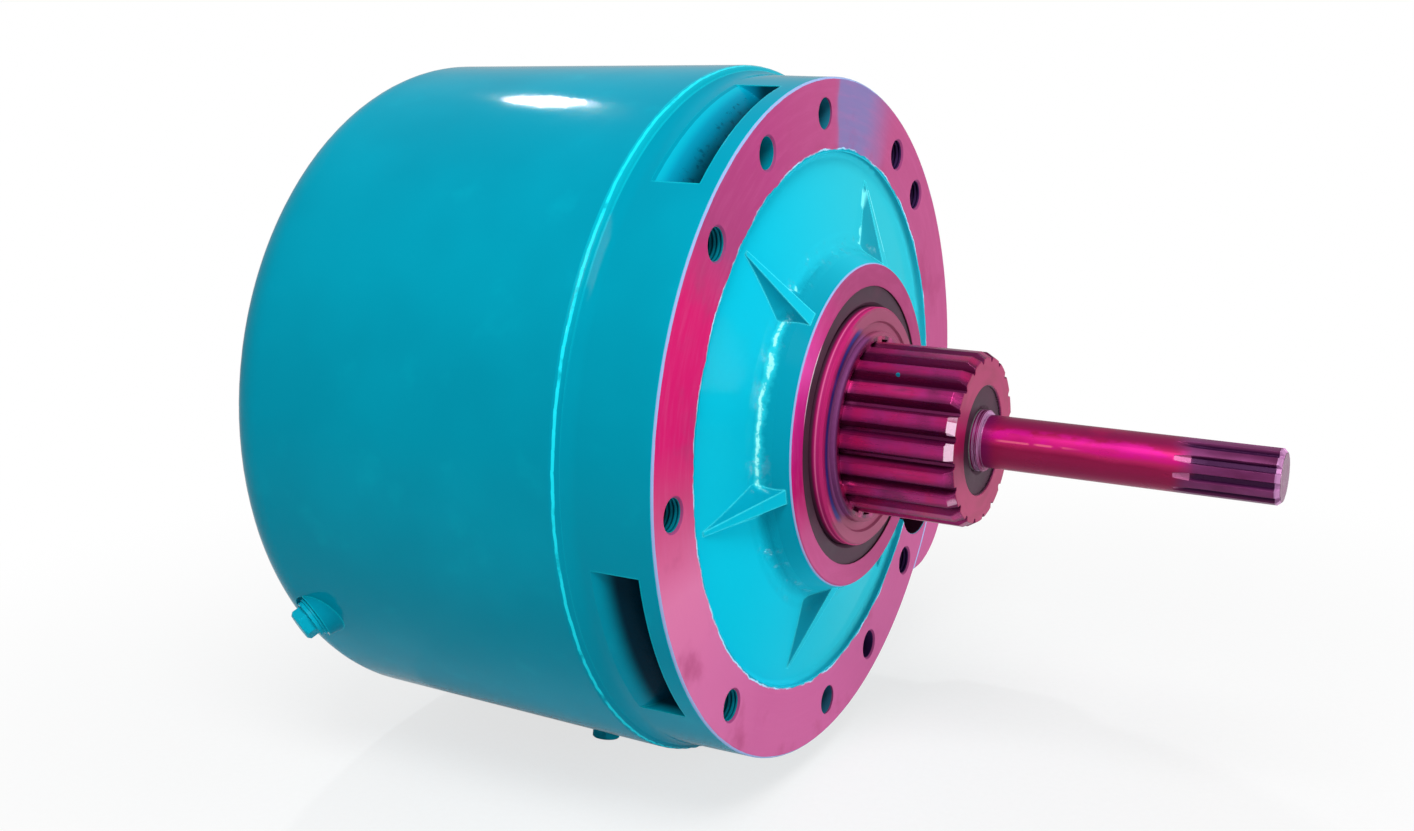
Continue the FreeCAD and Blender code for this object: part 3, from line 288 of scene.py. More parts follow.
def pocket_colour(mix, colour):
    """Pockets behind the flange, in painted shade: the upper ones darken towards the flange and have dark
    chips, the lower ones are painted dark inside."""
    x, radius, _ = mix.round_axis()
    _, up = mix.sides()
    in_pocket = mix.between(POCKET_BACK_X, POCKET_FRONT_X, x)
    low = mix.ease(0.06, -0.05, up)
    shade = mix.all_of(low, mix.ease(POCKET_TOP_R, 0.1945, radius), 0.97, in_pocket)
    scoop = mix.all_of(mix.math("SUBTRACT", 1.0, low), mix.below(0.19975, radius), in_pocket)
    # Upper pockets' open wall, light at the lip and dark by the flange: painted shade.
    tone = mix.ramp(mix.ease(-0.0205, -0.0385, x), (0.0, (0.0, 0.040, 0.068)), (0.10, (0.0, 0.080, 0.135)),
                    (0.26, (0.0, 0.150, 0.250)), (0.46, (0.0, 0.215, 0.345)), (0.688, (0.001, 0.270, 0.420)),
                    (0.811, (0.001, 0.330, 0.490)), (0.946, (0.002, 0.410, 0.560)),
                    (1.0, (0.002, 0.430, 0.590)))
    chips = mix.all_of(mix.ease(0.55, 0.66, mix.noise(230.0, 4.0)), in_pocket,
                       mix.between(0.165, 0.1955, radius), mix.ease(0.08, 0.14, up), 0.45)
    colour = mix.blend(shade, colour, ENAMEL_SHADE_AND_CHIPS)
    colour = mix.blend(scoop, colour, tone)
    return mix.blend(chips, colour, ENAMEL_SHADE_AND_CHIPS)


def lacquer_colour(mix):
    """Pink lacquer on the ring and the hub face, with brush strokes and blots; its colour round the axis
    is painted reflection: magenta on the near side, lilac in one place on top of the ring."""
    _, radius, turn = mix.round_axis()
    where = mix.math("ADD", turn, mix.math("MULTIPLY_ADD", mix.noise(14.0), 0.030, -0.015))
    # Colour round the axis: painted reflection.
    ring = mix.ramp(where, (0.0, LACQUER_PINK), (0.17, LACQUER_PINK), (0.205, LACQUER_LILAC),
                    (0.238, LACQUER_LILAC), (0.243, LACQUER_PINK), (0.33, LACQUER_DEEP),
                    (0.385, LACQUER_DEEPER), (0.42, LACQUER_MAGENTA), (0.48, LACQUER_MAGENTA),
                    (0.505, LACQUER_RED), (0.55, LACQUER_PALE), (0.61, LACQUER_SOFT),
                    (0.67, LACQUER_ROSE), (0.85, LACQUER_ROSE), (1.0, LACQUER_PINK))
    # On the hub face, the bright band on the near side is a painted highlight.
    hub = mix.ramp(where, (0.0, LACQUER_HUB), (0.31, LACQUER_HUB), (0.361, (0.45, 0.043, 0.19)),
                   (0.417, (0.66, 0.060, 0.34)), (0.455, (0.58, 0.018, 0.24)), (0.50, (0.50, 0.012, 0.18)),
                   (0.53, (0.45, 0.010, 0.13)), (0.583, (0.40, 0.070, 0.19)), (0.66, (0.38, 0.080, 0.20)),
                   (1.0, LACQUER_HUB))
    film = mix.blend(mix.below(0.12, radius), ring, hub)
    strokes = mix.ease(0.42, 0.75, mix.streaks(30.0, 260.0, 34.0, 4.0, 0.6))
    film = mix.blend(mix.all_of(strokes, 0.16), film, LACQUER_STROKE)
    return mix.blend(mix.all_of(mix.ease(0.54, 0.74, mix.noise(22.0, 4.0)), 0.6), film, LACQUER_BLOT)


def lacquered_faces(mix, colour):
    """(1 on the turned faces, the colour with their lacquer and the lines round them): the mask's
    wavering line inside the ring, painted highlights: bluish lines on outer edges, a glint at the bore."""
    x, radius, turn = mix.round_axis()
    shaky_hand = mix.math("MULTIPLY_ADD", mix.noise(55.0, 5.0, 0.65), 0.0060, -0.0030)
    edge = mix.math("ADD", radius, shaky_hand)
    rim = mix.math("ADD", radius, mix.math("MULTIPLY", shaky_hand, 0.15))
    on_face = mix.between(-0.0005, 0.001, x)
    on_ring = mix.all_of(on_face, mix.above(RING_EDGE_R, edge))
    on_hub = mix.all_of(mix.below(HUB_EDGE_R, rim), mix.above(HUB_FACE_X, x))
    bare = mix.any_of(on_ring, on_hub)
    mask_line = mix.all_of(mix.between(RING_EDGE_R - 0.0003, RING_EDGE_R + 0.0006, edge), on_face,
                           mix.ease(0.42, 0.60, mix.noise(38.0)))
    ring_line = mix.all_of(mix.between(RING_OUTER_R - 0.0011, RING_OUTER_R + 0.0006, rim),
                           mix.above(LIP_BACK_X, x))
    hub_line = mix.all_of(mix.between(HUB_EDGE_R - 0.0002, HUB_EDGE_R + 0.0008, radius),
                          mix.above(HUB_FACE_X - 0.0007, x))
    # A glint at the near edge of the hub's bore: painted highlight.
    glint = mix.all_of(mix.ease(0.372, 0.395, turn), mix.ease(0.475, 0.445, turn),
                       mix.between(HUB_BORE_R - 0.0003, HUB_BORE_R + 0.0006, radius),
                       mix.above(HUB_FACE_X, x))
    colour = mix.blend(bare, colour, lacquer_colour(mix))
    colour = mix.blend(mask_line, colour, MASK_LINE)
    # Bluish lines on the outer edges of the ring and the hub face: painted highlight.
    colour = mix.blend(mix.any_of(ring_line, hub_line), colour, EDGE_HIGHLIGHT_BLUE)
    return bare, mix.blend(glint, colour, BORE_GLINT)


def distance(mix, place, point):
    """How far a place is from one point."""
    apart = mix.add("ShaderNodeVectorMath", {"operation": "DISTANCE"})
    mix.join(place, apart.inputs[0])
    mix.join(point, apart.inputs[1])
    return apart.outputs["Value"]


def from_holes(mix, circle_r, angles):
    """Distance from the middle line of the nearest hole on a circle."""
    flat = mix.add("ShaderNodeVectorMath", {"operation": "MULTIPLY"})
    mix.join(mix.place, flat.inputs[0])
    mix.join((0.0, 1.0, 1.0), flat.inputs[1])
    nearest = 1.0
    for angle in angles:
        turn = math.radians(angle)
        centre = (0.0, circle_r * math.cos(turn), circle_r * math.sin(turn))
        nearest = mix.math("MINIMUM", distance(mix, flat.outputs["Vector"], centre), nearest)
    return nearest


def flange_holes(mix, colour):
    """(1 on the tapped walls, the colour with the holes): a lacquered lip, then overspray, teal on
    the near side and violet on the far side, with painted shade that darkens it inwards."""
    x, _, _ = mix.round_axis()
    out, _ = mix.sides()
    tapped = from_holes(mix, BOLT_CIRCLE_R, TAPPED_HOLES)
    plain = from_holes(mix, BOLT_CIRCLE_R, PLAIN_HOLES)
    lip = mix.all_of(mix.below(HOLE_LIP_R, mix.math("MINIMUM", tapped, plain)),
                     mix.between(-0.0013, SKIN_X, x))
    tapped_wall = mix.all_of(mix.below(TAPPED_R, tapped), mix.between(FLANGE_BACK_X, LIP_BACK_X, x))
    plain_wall = mix.all_of(mix.below(PLAIN_R, plain), mix.between(PLAIN_WALL_END_X, LIP_BACK_X, x))
    spray = mix.blend(mix.ease(-0.04, 0.07, out), HOLE_TEAL, HOLE_VIOLET)
    # Darker further into the holes: painted shade.
    spray = mix.blend(mix.ease(-0.003, -0.024, x), spray, HOLE_SHADE)
    colour = mix.blend(lip, colour, HOLE_LIP)
    return tapped_wall, mix.blend(mix.any_of(tapped_wall, plain_wall), colour, spray)


def unpainted_iron(mix):
    """1 on the casting's inside and in the hub's bore, which the spray never reached."""
    x, radius, _ = mix.round_axis()
    pocket = mix.all_of(mix.between(POCKET_RIM_X, POCKET_FRONT_X, x), mix.above(POCKET_FLOOR_R, radius))
    inside = mix.all_of(mix.below(INSIDE_X, x), mix.below(INSIDE_R, radius),
                        mix.math("SUBTRACT", 1.0, pocket))
    return mix.any_of(inside, mix.all_of(mix.below(HUB_BORE_R, radius), mix.below(BORE_END_X, x)))


def casing_finish():
    mix = Finish("teal_enamel_and_pink_lacquer")
    x, radius, _ = mix.round_axis()
    end_wall = mix.all_of(mix.above(END_WALL_X, x), mix.below(END_WALL_R, radius))
    raw = unpainted_iron(mix)
    # Near black in the ear's bore: bare iron and painted shade.
    ear_bore = mix.all_of(mix.below(EAR_BORE_R, from_holes(mix, EAR_CENTRE_R, (EAR_ANGLE,))),
                          mix.between(FLANGE_BACK_X, SKIN_X, x))

    colour = shoulder_highlight(mix, enamel_colour(mix))
    colour = mix.blend(end_wall, colour, end_wall_painted_light(mix))
    colour = rib_glints(mix, end_wall, colour)
    colour = hub_foot_glint(mix, colour)
    colour = pocket_colour(mix, colour)
    bare, colour = lacquered_faces(mix, colour)
    tapped_wall, colour = flange_holes(mix, colour)
    colour = mix.blend(raw, colour, RAW_CASTING)
    colour = mix.blend(ear_bore, colour, EAR_BORE_BARE_AND_SHADE)

    paint_gloss = mix.ramp(mix.noise(18.0), (0.3, 0.065), (0.7, 0.12))
    bare_gloss = mix.ramp(mix.streaks(30.0, 900.0, 20.0, 3.0, 0.6), (0.3, 0.28), (0.7, 0.44))
    rough = mix.blend(bare, paint_gloss, bare_gloss)
    rough = mix.blend(raw, rough, RAW_ROUGHNESS)

    hub_foot = mix.all_of(mix.ease(0.0985, 0.1020, radius), mix.ease(0.1125, 0.1070, radius),
                          mix.between(0.001, 0.014, x))
    scoop = mix.all_of(mix.between(POCKET_BACK_X, POCKET_FRONT_X, x), mix.ease(POCKET_TOP_R, 0.190, radius))
    cast_skin = mix.any_of(scoop, raw, hub_foot)
    sand = mix.math("ADD", mix.noise(330.0, 5.0, 0.7), mix.math("MULTIPLY", mix.noise(70.0, 3.0), 2.0))
    sand = mix.all_of(sand, mix.math("MULTIPLY_ADD", cast_skin, 0.95, 0.05))
    normal = mix.bump(sand, 0.0008, 0.55, mix.broken_edges(0.0008))
    threads = mix.all_of(mix.math("SINE", mix.math("MULTIPLY", x, THREAD_WAVES)), tapped_wall)
    normal = mix.bump(threads, 0.0006, 1.0, normal)
    wet = mix.all_of(hub_foot, mix.ease(0.56, 0.62, mix.noise(120.0, 4.0, 0.7)), 0.9)
    mix.join(wet, mix.surface.inputs["Coat Weight"])
    mix.join(mix.bump(mix.noise(150.0, 2.0, 0.8), 0.004, 1.0, normal), mix.surface.inputs["Coat Normal"])
    mix.join(mix.math("MULTIPLY_ADD", end_wall, -0.31, 0.36), mix.surface.inputs["Specular IOR Level"])
    peel = mix.bump(mix.noise(420.0, 2.0), 0.00006, 0.5, normal)
    return mix.done(colour, rough, mix.bump(mix.noise(11.0, 2.0), 0.0012, 0.35, peel), IOR=1.11)


dress(casing_finish(), "casing")

# Ring gear and its two dowels. The gear is a ring of alloy steel with 60 broached inside teeth, common to
# both stages. It sits in the casing's bore, and ground pins keep it from turning there.

GEAR_STEEL = (0.33, 0.34, 0.36)
GEAR_OILED = (0.20, 0.19, 0.17)
GEAR_CUT = (0.46, 0.47, 0.49)
DOWEL_STEEL = (0.52, 0.52, 0.54)
OIL_BROWN = (0.34, 0.27, 0.17)


def cut_gear_finish(name, tone, dark):
    mix = Finish(name)
    cuts = mix.streaks(2600.0, 40.0, 30.0)
    oil = mix.noise(26.0, 5.0, 0.6)
    colour = mix.blend(mix.ease(0.40, 0.70, oil), tone, dark)
    colour = mix.blend(mix.ease(0.62, 0.78, cuts), colour, GEAR_CUT)
    rough = mix.ramp(oil, (0.35, 0.34), (0.65, 0.20))
    normal = mix.bump(cuts, 0.00004, 0.5, mix.broken_edges(0.0004))
    return mix.done(colour, rough, normal, Metallic=0.9)


def ground_steel_finish(name, tone):
    mix = Finish(name)
    rings = mix.streaks(3200.0, 3200.0, 6.0, 3.0, 0.6)
    film = mix.noise(40.0, 3.0)
    colour = mix.blend(mix.ease(0.35, 0.75, rings), tone, tuple(v * 0.72 for v in tone))
    colour = mix.blend(mix.all_of(mix.ease(0.55, 0.8, film), 0.5), colour, OIL_BROWN)
    rough = mix.ramp(rings, (0.3, 0.12), (0.7, 0.26))
    normal = mix.bump(rings, 0.00002, 0.4, mix.broken_edges(0.0003))
    return mix.done(colour, rough, normal, Metallic=1.0)


gear_steel = cut_gear_finish("hobbed_gear_steel", GEAR_STEEL, GEAR_OILED)
dress(gear_steel, "ring_gear")
dress(ground_steel_finish("ground_dowel_steel", DOWEL_STEEL), "ring_gear_dowels")

# Hub bearings. Two roller bearings carry the output shaft in the hub, a ring of iron between their
# outer races and one between their inner races, and two spring rings lock them in place.

RACE_STEEL = (0.58, 0.58, 0.60)
ROLLER_STEEL = (0.66, 0.66, 0.69)
SPACER_IRON = (0.21, 0.20, 0.20)
SPRING_BROWN = (0.045, 0.036, 0.030)
IRON_FLAKE = (0.06, 0.055, 0.05)
RUBBED_PHOSPHATE = (0.17, 0.16, 0.15)
PHOSPHATE_PIT = (0.015, 0.014, 0.013)


def turned_iron_finish(name, tone):
    mix = Finish(name)
    tool = mix.streaks(1500.0, 1500.0, 3.0)
    flakes = mix.noise(900.0, 2.0)
    colour = mix.blend(mix.ease(0.35, 0.65, tool), tone, tuple(min(1.0, v * 1.45) for v in tone))
    colour = mix.blend(mix.all_of(mix.ease(0.60, 0.72, flakes), 0.6), colour, IRON_FLAKE)
    rough = mix.ramp(tool, (0.3, 0.36), (0.7, 0.52))
    relief = mix.math("ADD", tool, mix.math("MULTIPLY", flakes, 0.4))
    normal = mix.bump(relief, 0.00005, 0.6, mix.broken_edges(0.0004))
    return mix.done(colour, rough, normal, Metallic=0.75)


def phosphate_finish(name, tone):
    """Dark manganese phosphate, rubbed bright on the high spots."""
    mix = Finish(name)
    grain = mix.noise(1100.0, 3.0, 0.65)
    rub = mix.noise(48.0, 4.0)
    colour = mix.blend(mix.ease(0.62, 0.80, rub), tone, RUBBED_PHOSPHATE)
    colour = mix.blend(mix.math("MULTIPLY", grain, 0.35), colour, PHOSPHATE_PIT)
    rough = mix.ramp(grain, (0.3, 0.42), (0.7, 0.60))
    return mix.done(colour, rough, mix.bump(grain, 0.00003, 0.5, mix.broken_edges(0.0003)), Metallic=0.5)


race_steel = ground_steel_finish("bearing_race_steel", RACE_STEEL)
roller_steel = ground_steel_finish("bearing_roller_steel", ROLLER_STEEL)
spring_steel = phosphate_finish("spring_ring_phosphate", SPRING_BROWN)
dress(race_steel, "front_bearing_outer", "front_bearing_inner", "rear_bearing_outer", "rear_bearing_inner")
dress(roller_steel, "front_bearing_rollers", "rear_bearing_rollers")
dress(turned_iron_finish("turned_spacer_iron", SPACER_IRON), "outer_spacer", "inner_spacer")
dress(spring_steel, "hub_circlip", "shaft_circlip")

# Output shaft. One forging of alloy steel with its carrier plate and four posts. Turned, ground where the
# bearings and the seal run, and cut with twenty straight grooves for the rope drum, it is brushed
# with the same lacquer in front of the seal. Shade is painted along one side of each tooth.

SHAFT_ROSE = (0.32, 0.024, 0.100)
SHAFT_DULL = (0.27, 0.022, 0.082)
SHAFT_NEAR = (0.36, 0.003, 0.075)
SHAFT_MAGENTA = (0.43, 0.016, 0.170)
SHAFT_CRIMSON = (0.49, 0.007, 0.12)
SHAFT_PALE = (0.52, 0.03, 0.22)
SHAFT_WINE = (0.19, 0.013, 0.085)
CHAMFER_GLINT_ROSE = (0.82, 0.52, 0.68)
GROOVE_SHADE = (0.13, 0.005, 0.062)
TOOTH_SIDE_SHADE = (0.085, 0.004, 0.045)
COLLAR_VIOLET = (0.10, 0.012, 0.08)
COLLAR_PALE_HIGHLIGHT = (0.30, 0.080, 0.26)
COLLAR_BLUE_REFLECTION = (0.022, 0.022, 0.19)
JOURNAL_FAR = (0.27, 0.048, 0.115)
JOURNAL_SHADE = (0.075, 0.022, 0.050)
JOURNAL_GLEAM = (0.80, 0.16, 0.38)
SPECK = (0.0571, -0.0302, 0.0392)
BARE_STEEL = (0.36, 0.36, 0.38)
TURNED_STEEL = (0.24, 0.235, 0.23)
TEETH_ROUGHNESS = (0.42, 0.42, 0.42)
NOSE_X, LACQUER_FROM_X = 0.0972, 0.0205
HOLLOW_R, HOLLOW_END_X = 0.0316, 0.0962
CHAMFER_X, CHAMFER_R = 0.0926, 0.0468
TOOTH_COUNT, FIRST_GROOVE = 20, 6.0 / 18.0
TOOTH_TIP_R, TOOTH_FOOT_R = 0.0485, 0.0455
JOURNAL_R, JOURNAL_SHADE_X, JOURNAL_END_X = 0.0695, 0.0195, 0.0300
COLLAR_X, COLLAR_R = 0.0318, 0.0535


def tooth_colour(mix, drag):
    """Lacquer on the teeth in streaks, with painted shade along one side of each and in the grooves."""
    _, radius, turn = mix.round_axis()
    film = mix.ramp(mix.streaks(34.0, 60.0, 9.0, 3.0), (0.30, SHAFT_WINE), (0.47, SHAFT_MAGENTA),
                    (0.60, SHAFT_CRIMSON), (0.74, SHAFT_PALE))
    film = mix.blend(mix.ease(0.55, 0.80, drag), film, SHAFT_WINE)
    across = mix.math("FRACT", mix.math("MULTIPLY_ADD", turn, TOOTH_COUNT, 1.0 - FIRST_GROOVE))
    # Darker along one side of each tooth: painted shade.
    side_shade = mix.ramp(across, (0.255, 0.36), (0.33, 0.0), (0.53, 0.0), (0.66, 0.52), (0.745, 0.86))
    film = mix.blend(side_shade, film, TOOTH_SIDE_SHADE)
    # Darker in the grooves: painted shade.
    return mix.blend(mix.ease(TOOTH_TIP_R, TOOTH_FOOT_R, radius), film, GROOVE_SHADE)


def nose_colour(mix):
    """Thin even lacquer on the nose, deeper crimson in one band on the near side."""
    _, _, turn = mix.round_axis()
    film = mix.blend(mix.ease(0.4, 0.7, mix.streaks(20.0, 160.0, 9.0, 1.0)), SHAFT_ROSE, SHAFT_DULL)
    near_band = mix.all_of(mix.ease(0.420, 0.450, turn), mix.ease(0.505, 0.485, turn), 0.8)
    return mix.blend(near_band, film, SHAFT_NEAR)


def chamfer_glints(mix):
    """1 where a painted glint lies on the teeth's chamfers."""
    x, radius, turn = mix.round_axis()
    chamfer = mix.all_of(mix.between(CHAMFER_X, NOSE_X, x), mix.above(CHAMFER_R, radius))
    some = mix.all_of(mix.ease(0.44, 0.56, mix.noise(70.0, 1.0)), mix.between(0.42, 0.60, turn), 0.5)
    return mix.all_of(chamfer, mix.any_of(some, mix.between(0.435, 0.505, turn)))


def journal_colour(mix):
    """The seal's journal and its face: bands of blue, violet and crimson from the collar outwards on the
    near side, plain rose on the far side, and on the barrel in front of the seal painted shade and a gleam.
    The blue band is painted reflection; the pale violet line and the gleam are painted highlight."""
    x, radius, turn = mix.round_axis()
    face = mix.ramp(mix.ease(COLLAR_R, JOURNAL_R, radius), (0.0, SHAFT_WINE), (0.03, COLLAR_VIOLET),
                    (0.09, COLLAR_PALE_HIGHLIGHT), (0.30, COLLAR_VIOLET), (0.42, COLLAR_BLUE_REFLECTION), (0.76, COLLAR_BLUE_REFLECTION),
                    (0.85, (0.30, 0.008, 0.10)), (0.93, (0.48, 0.020, 0.16)), (1.0, (0.44, 0.012, 0.13)))
    far_side = mix.math("ADD", mix.apart(turn, 0.465), mix.math("MULTIPLY_ADD", radius, 3.1, -0.166))
    face = mix.blend(mix.ease(0.180, 0.205, far_side), face, JOURNAL_FAR)
    barrel = mix.ramp(mix.ease(JOURNAL_SHADE_X, JOURNAL_END_X, x), (0.0, JOURNAL_SHADE),
                      (0.26, JOURNAL_SHADE), (0.36, (0.20, 0.006, 0.07)), (0.52, (0.46, 0.012, 0.14)),
                      (0.62, JOURNAL_GLEAM), (0.72, (0.50, 0.018, 0.17)), (1.0, (0.42, 0.010, 0.12)))
    return mix.blend(mix.above(JOURNAL_R - 0.0001, radius), face, barrel)


def output_shaft_finish():
    mix = Finish("lacquered_output_steel")
    x, radius, _ = mix.round_axis()
    drag = mix.streaks(26.0, 260.0, 60.0, 4.0, 0.65)
    tool = mix.streaks(1800.0, 1800.0, 4.0)
    on_nose = mix.above(NOSE_X, x)
    on_journal = mix.all_of(mix.below(COLLAR_X, x), mix.above(COLLAR_R, radius))
    on_faces = mix.any_of(on_nose, on_journal)
    chamfer_glint = chamfer_glints(mix)
    hollow = mix.all_of(mix.below(HOLLOW_R, radius), mix.below(HOLLOW_END_X, x))
    unpainted = mix.any_of(mix.below(LACQUER_FROM_X, x), hollow)

    colour = mix.blend(chamfer_glint, tooth_colour(mix, drag), CHAMFER_GLINT_ROSE)
    colour = mix.blend(on_nose, colour, nose_colour(mix))
    colour = mix.blend(on_journal, colour, journal_colour(mix))
    colour = mix.blend(mix.below(0.0013, distance(mix, mix.place, SPECK)), colour, ENAMEL_THICK)
    colour = mix.blend(unpainted, colour, mix.blend(mix.ease(0.35, 0.7, tool), BARE_STEEL, TURNED_STEEL))

    rough = mix.blend(on_faces, mix.ramp(drag, (0.3, 0.20), (0.7, 0.38)), TEETH_ROUGHNESS)
    shine = mix.math("MULTIPLY_ADD", on_faces, -0.60, 0.65)
    shine = mix.any_of(mix.math("MULTIPLY_ADD", chamfer_glint, -0.6, shine), mix.math("MULTIPLY", unpainted, 0.90))
    marks = mix.all_of(drag, mix.math("SUBTRACT", 1.0, on_faces))
    normal = mix.bump(mix.math("ADD", marks, mix.all_of(tool, 0.3, unpainted)), 0.00018, 0.35,
                      mix.broken_edges(0.0006))
    mix.join(mix.math("MULTIPLY_ADD", on_faces, -0.35, 0.5), mix.surface.inputs["Specular IOR Level"])
    mix.join(shine, mix.surface.inputs["Metallic"])
    return mix.done(colour, rough, normal)


dress(output_shaft_finish(), "output_shaft")

# Output stage. A rear plate of ductile iron is screwed to the shaft's posts; four pins in bronze bushes
# carry four planets of 22 teeth round a hollow sun of 16, with thrust washers at both ends.

CARRIER_IRON = (0.17, 0.17, 0.18)
PIN_STEEL = (0.50, 0.50, 0.53)
BLACK_OXIDE = (0.022, 0.022, 0.026)
BRONZE = (0.50, 0.27, 0.085)
BRONZE_STAIN = (0.20, 0.095, 0.035)
PLANET_STEEL, PLANET_OILED = (0.37, 0.37, 0.39), (0.22, 0.20, 0.18)
SUN_STEEL, SUN_OILED = (0.30, 0.31, 0.33), (0.17, 0.16, 0.15)


def bronze_finish(name, tone):
    mix = Finish(name)
    tool = mix.streaks(1400.0, 1400.0, 5.0)
    stain = mix.noise(60.0, 4.0)
    colour = mix.blend(mix.ease(0.3, 0.7, tool), tone, tuple(v * 0.75 for v in tone))
    colour = mix.blend(mix.ease(0.58, 0.78, stain), colour, BRONZE_STAIN)
    rough = mix.ramp(stain, (0.3, 0.24), (0.7, 0.42))
    return mix.done(colour, rough, mix.bump(tool, 0.00003, 0.5, mix.broken_edges(0.0003)), Metallic=1.0)


carrier_iron = turned_iron_finish("machined_carrier_iron", CARRIER_IRON)
pin_steel = ground_steel_finish("hardened_pin_steel", PIN_STEEL)
screw_black = phosphate_finish("black_screw_oxide", BLACK_OXIDE)
bush_bronze = bronze_finish("turned_bush_bronze", BRONZE)
planet_steel = cut_gear_finish("planet_gear_steel", PLANET_STEEL, PLANET_OILED)
sun_steel = cut_gear_finish("sun_gear_steel", SUN_STEEL, SUN_OILED)
dress(carrier_iron, "output_carrier_plate")
dress(screw_black, "output_carrier_screws")
dress(pin_steel, "stage2_pins")
dress(bush_bronze, "stage2_washers", "stage_thrust_ring", "stage2_bush_1", "stage2_bush_2", "stage2_bush_3",
      "stage2_bush_4")
dress(planet_steel, "stage2_planet_1", "stage2_planet_2", "stage2_planet_3", "stage2_planet_4")
dress(sun_steel, "stage2_sun")

# Input stage. Two iron plates hold three planets of 24 teeth between them. The front plate is splined on
# the output sun's tail and drives it; the rear plate is held by three low-head screws.

dress(carrier_iron, "stage1_carrier", "stage1_carrier_plate")
dress(screw_black, "stage1_carrier_screws")
dress(pin_steel, "stage1_pins")
dress(bush_bronze, "stage1_washers", "stage1_bush_1", "stage1_bush_2", "stage1_bush_3")
dress(planet_steel, "stage1_planet_1", "stage1_planet_2", "stage1_planet_3")

# Input shaft. A long bar of steel through the whole gearbox, with the first sun keyed to its rear end and
# ten milled splines on its tip for the motor coupling. The length outside is lacquered.

INPUT_CRIMSON = (0.38, 0.003, 0.080)
INPUT_MAGENTA = (0.62, 0.007, 0.195)
INPUT_WINE = (0.21, 0.008, 0.062)
INPUT_EDGE_HIGHLIGHT = (0.27, 0.080, 0.145)
INPUT_PETAL = (0.64, 0.002, 0.27)
INPUT_GLINT = (0.82, 0.12, 0.24)
INPUT_VIOLET = (0.14, 0.006, 0.10)
INPUT_STEP = (0.45, 0.22, 0.42)
TIP_PURPLE = (0.120, 0.016, 0.075)
TIP_STREAK = (0.20, 0.035, 0.14)
TIP_GROOVE_SHADE = (0.045, 0.004, 0.045)
RUN_OUT_GLINT = (0.55, 0.16, 0.34)
TIP_CHAMFER = (0.50, 0.22, 0.45)
TIP_FACE = (0.17, 0.055, 0.125)
SEAL_FROM_X, SPLINE_FROM_X, TIP_X = 0.0955, 0.206, 0.2604
SPLINE_TIP_R, SPLINE_FOOT_R = 0.0148, 0.0132
BAR_STEP_X = 0.0965, 0.1012


def bar_colour(mix, drag, blot):
    """Lacquer on the plain length: magenta petals on a crimson side, duller on top and below, violet
    beside the seal. The colour round the bar is painted light and shade, with a painted highlight on
    its top edge, and one broken streak is a painted highlight."""
    x, _, turn = mix.round_axis()
    smear = mix.math("MULTIPLY_ADD", drag, 0.044, -0.022)
    band_shift = mix.math("MULTIPLY_ADD", x, -0.20, 0.028)
    film = mix.ramp(mix.math("ADD", mix.math("ADD", turn, smear), band_shift), (0.0, INPUT_WINE),
                    (0.205, INPUT_EDGE_HIGHLIGHT), (0.245, INPUT_WINE), (0.34, (0.24, 0.006, 0.070)),
                    (0.380, INPUT_CRIMSON), (0.410, INPUT_MAGENTA), (0.445, INPUT_MAGENTA),
                    (0.468, (0.46, 0.015, 0.105)), (0.495, (0.25, 0.004, 0.052)),
                    (0.57, (0.25, 0.006, 0.058)), (0.64, (0.29, 0.014, 0.080)),
                    (0.72, (0.27, 0.014, 0.075)), (1.0, INPUT_WINE))
    film = mix.blend(mix.all_of(mix.ease(0.50, 0.70, blot), 0.55), film, INPUT_CRIMSON)
    petals = mix.all_of(mix.ease(0.47, 0.60, mix.streaks(52.0, 60.0, 11.0, 3.0, 0.55)),
                        mix.ease(0.350, 0.385, turn), mix.ease(0.470, 0.440, turn), 0.7)
    film = mix.blend(petals, film, INPUT_PETAL)
    from_streak = mix.apart(mix.math("MULTIPLY_ADD", drag, 0.012, turn), 0.455)
    streak = mix.all_of(mix.ease(0.0085, 0.0030, from_streak), mix.ease(0.36, 0.50, mix.noise(110.0, 3.0)),
                        mix.ease(0.108, 0.113, x), mix.ease(0.160, 0.138, x))
    film = mix.blend(streak, film, INPUT_GLINT)
    return mix.blend(mix.all_of(mix.ease(0.1105, 0.1025, x), 0.6), film, INPUT_VIOLET)


def tip_colour(mix, drag):
    """Purple lacquer on the splines, with painted shade at the bottom of their grooves."""
    film = mix.blend(mix.ease(0.35, 0.7, drag), TIP_PURPLE, TIP_STREAK)
    return mix.blend(mix.ease(SPLINE_TIP_R, SPLINE_FOOT_R, mix.round_axis()[1]), film, TIP_GROOVE_SHADE)


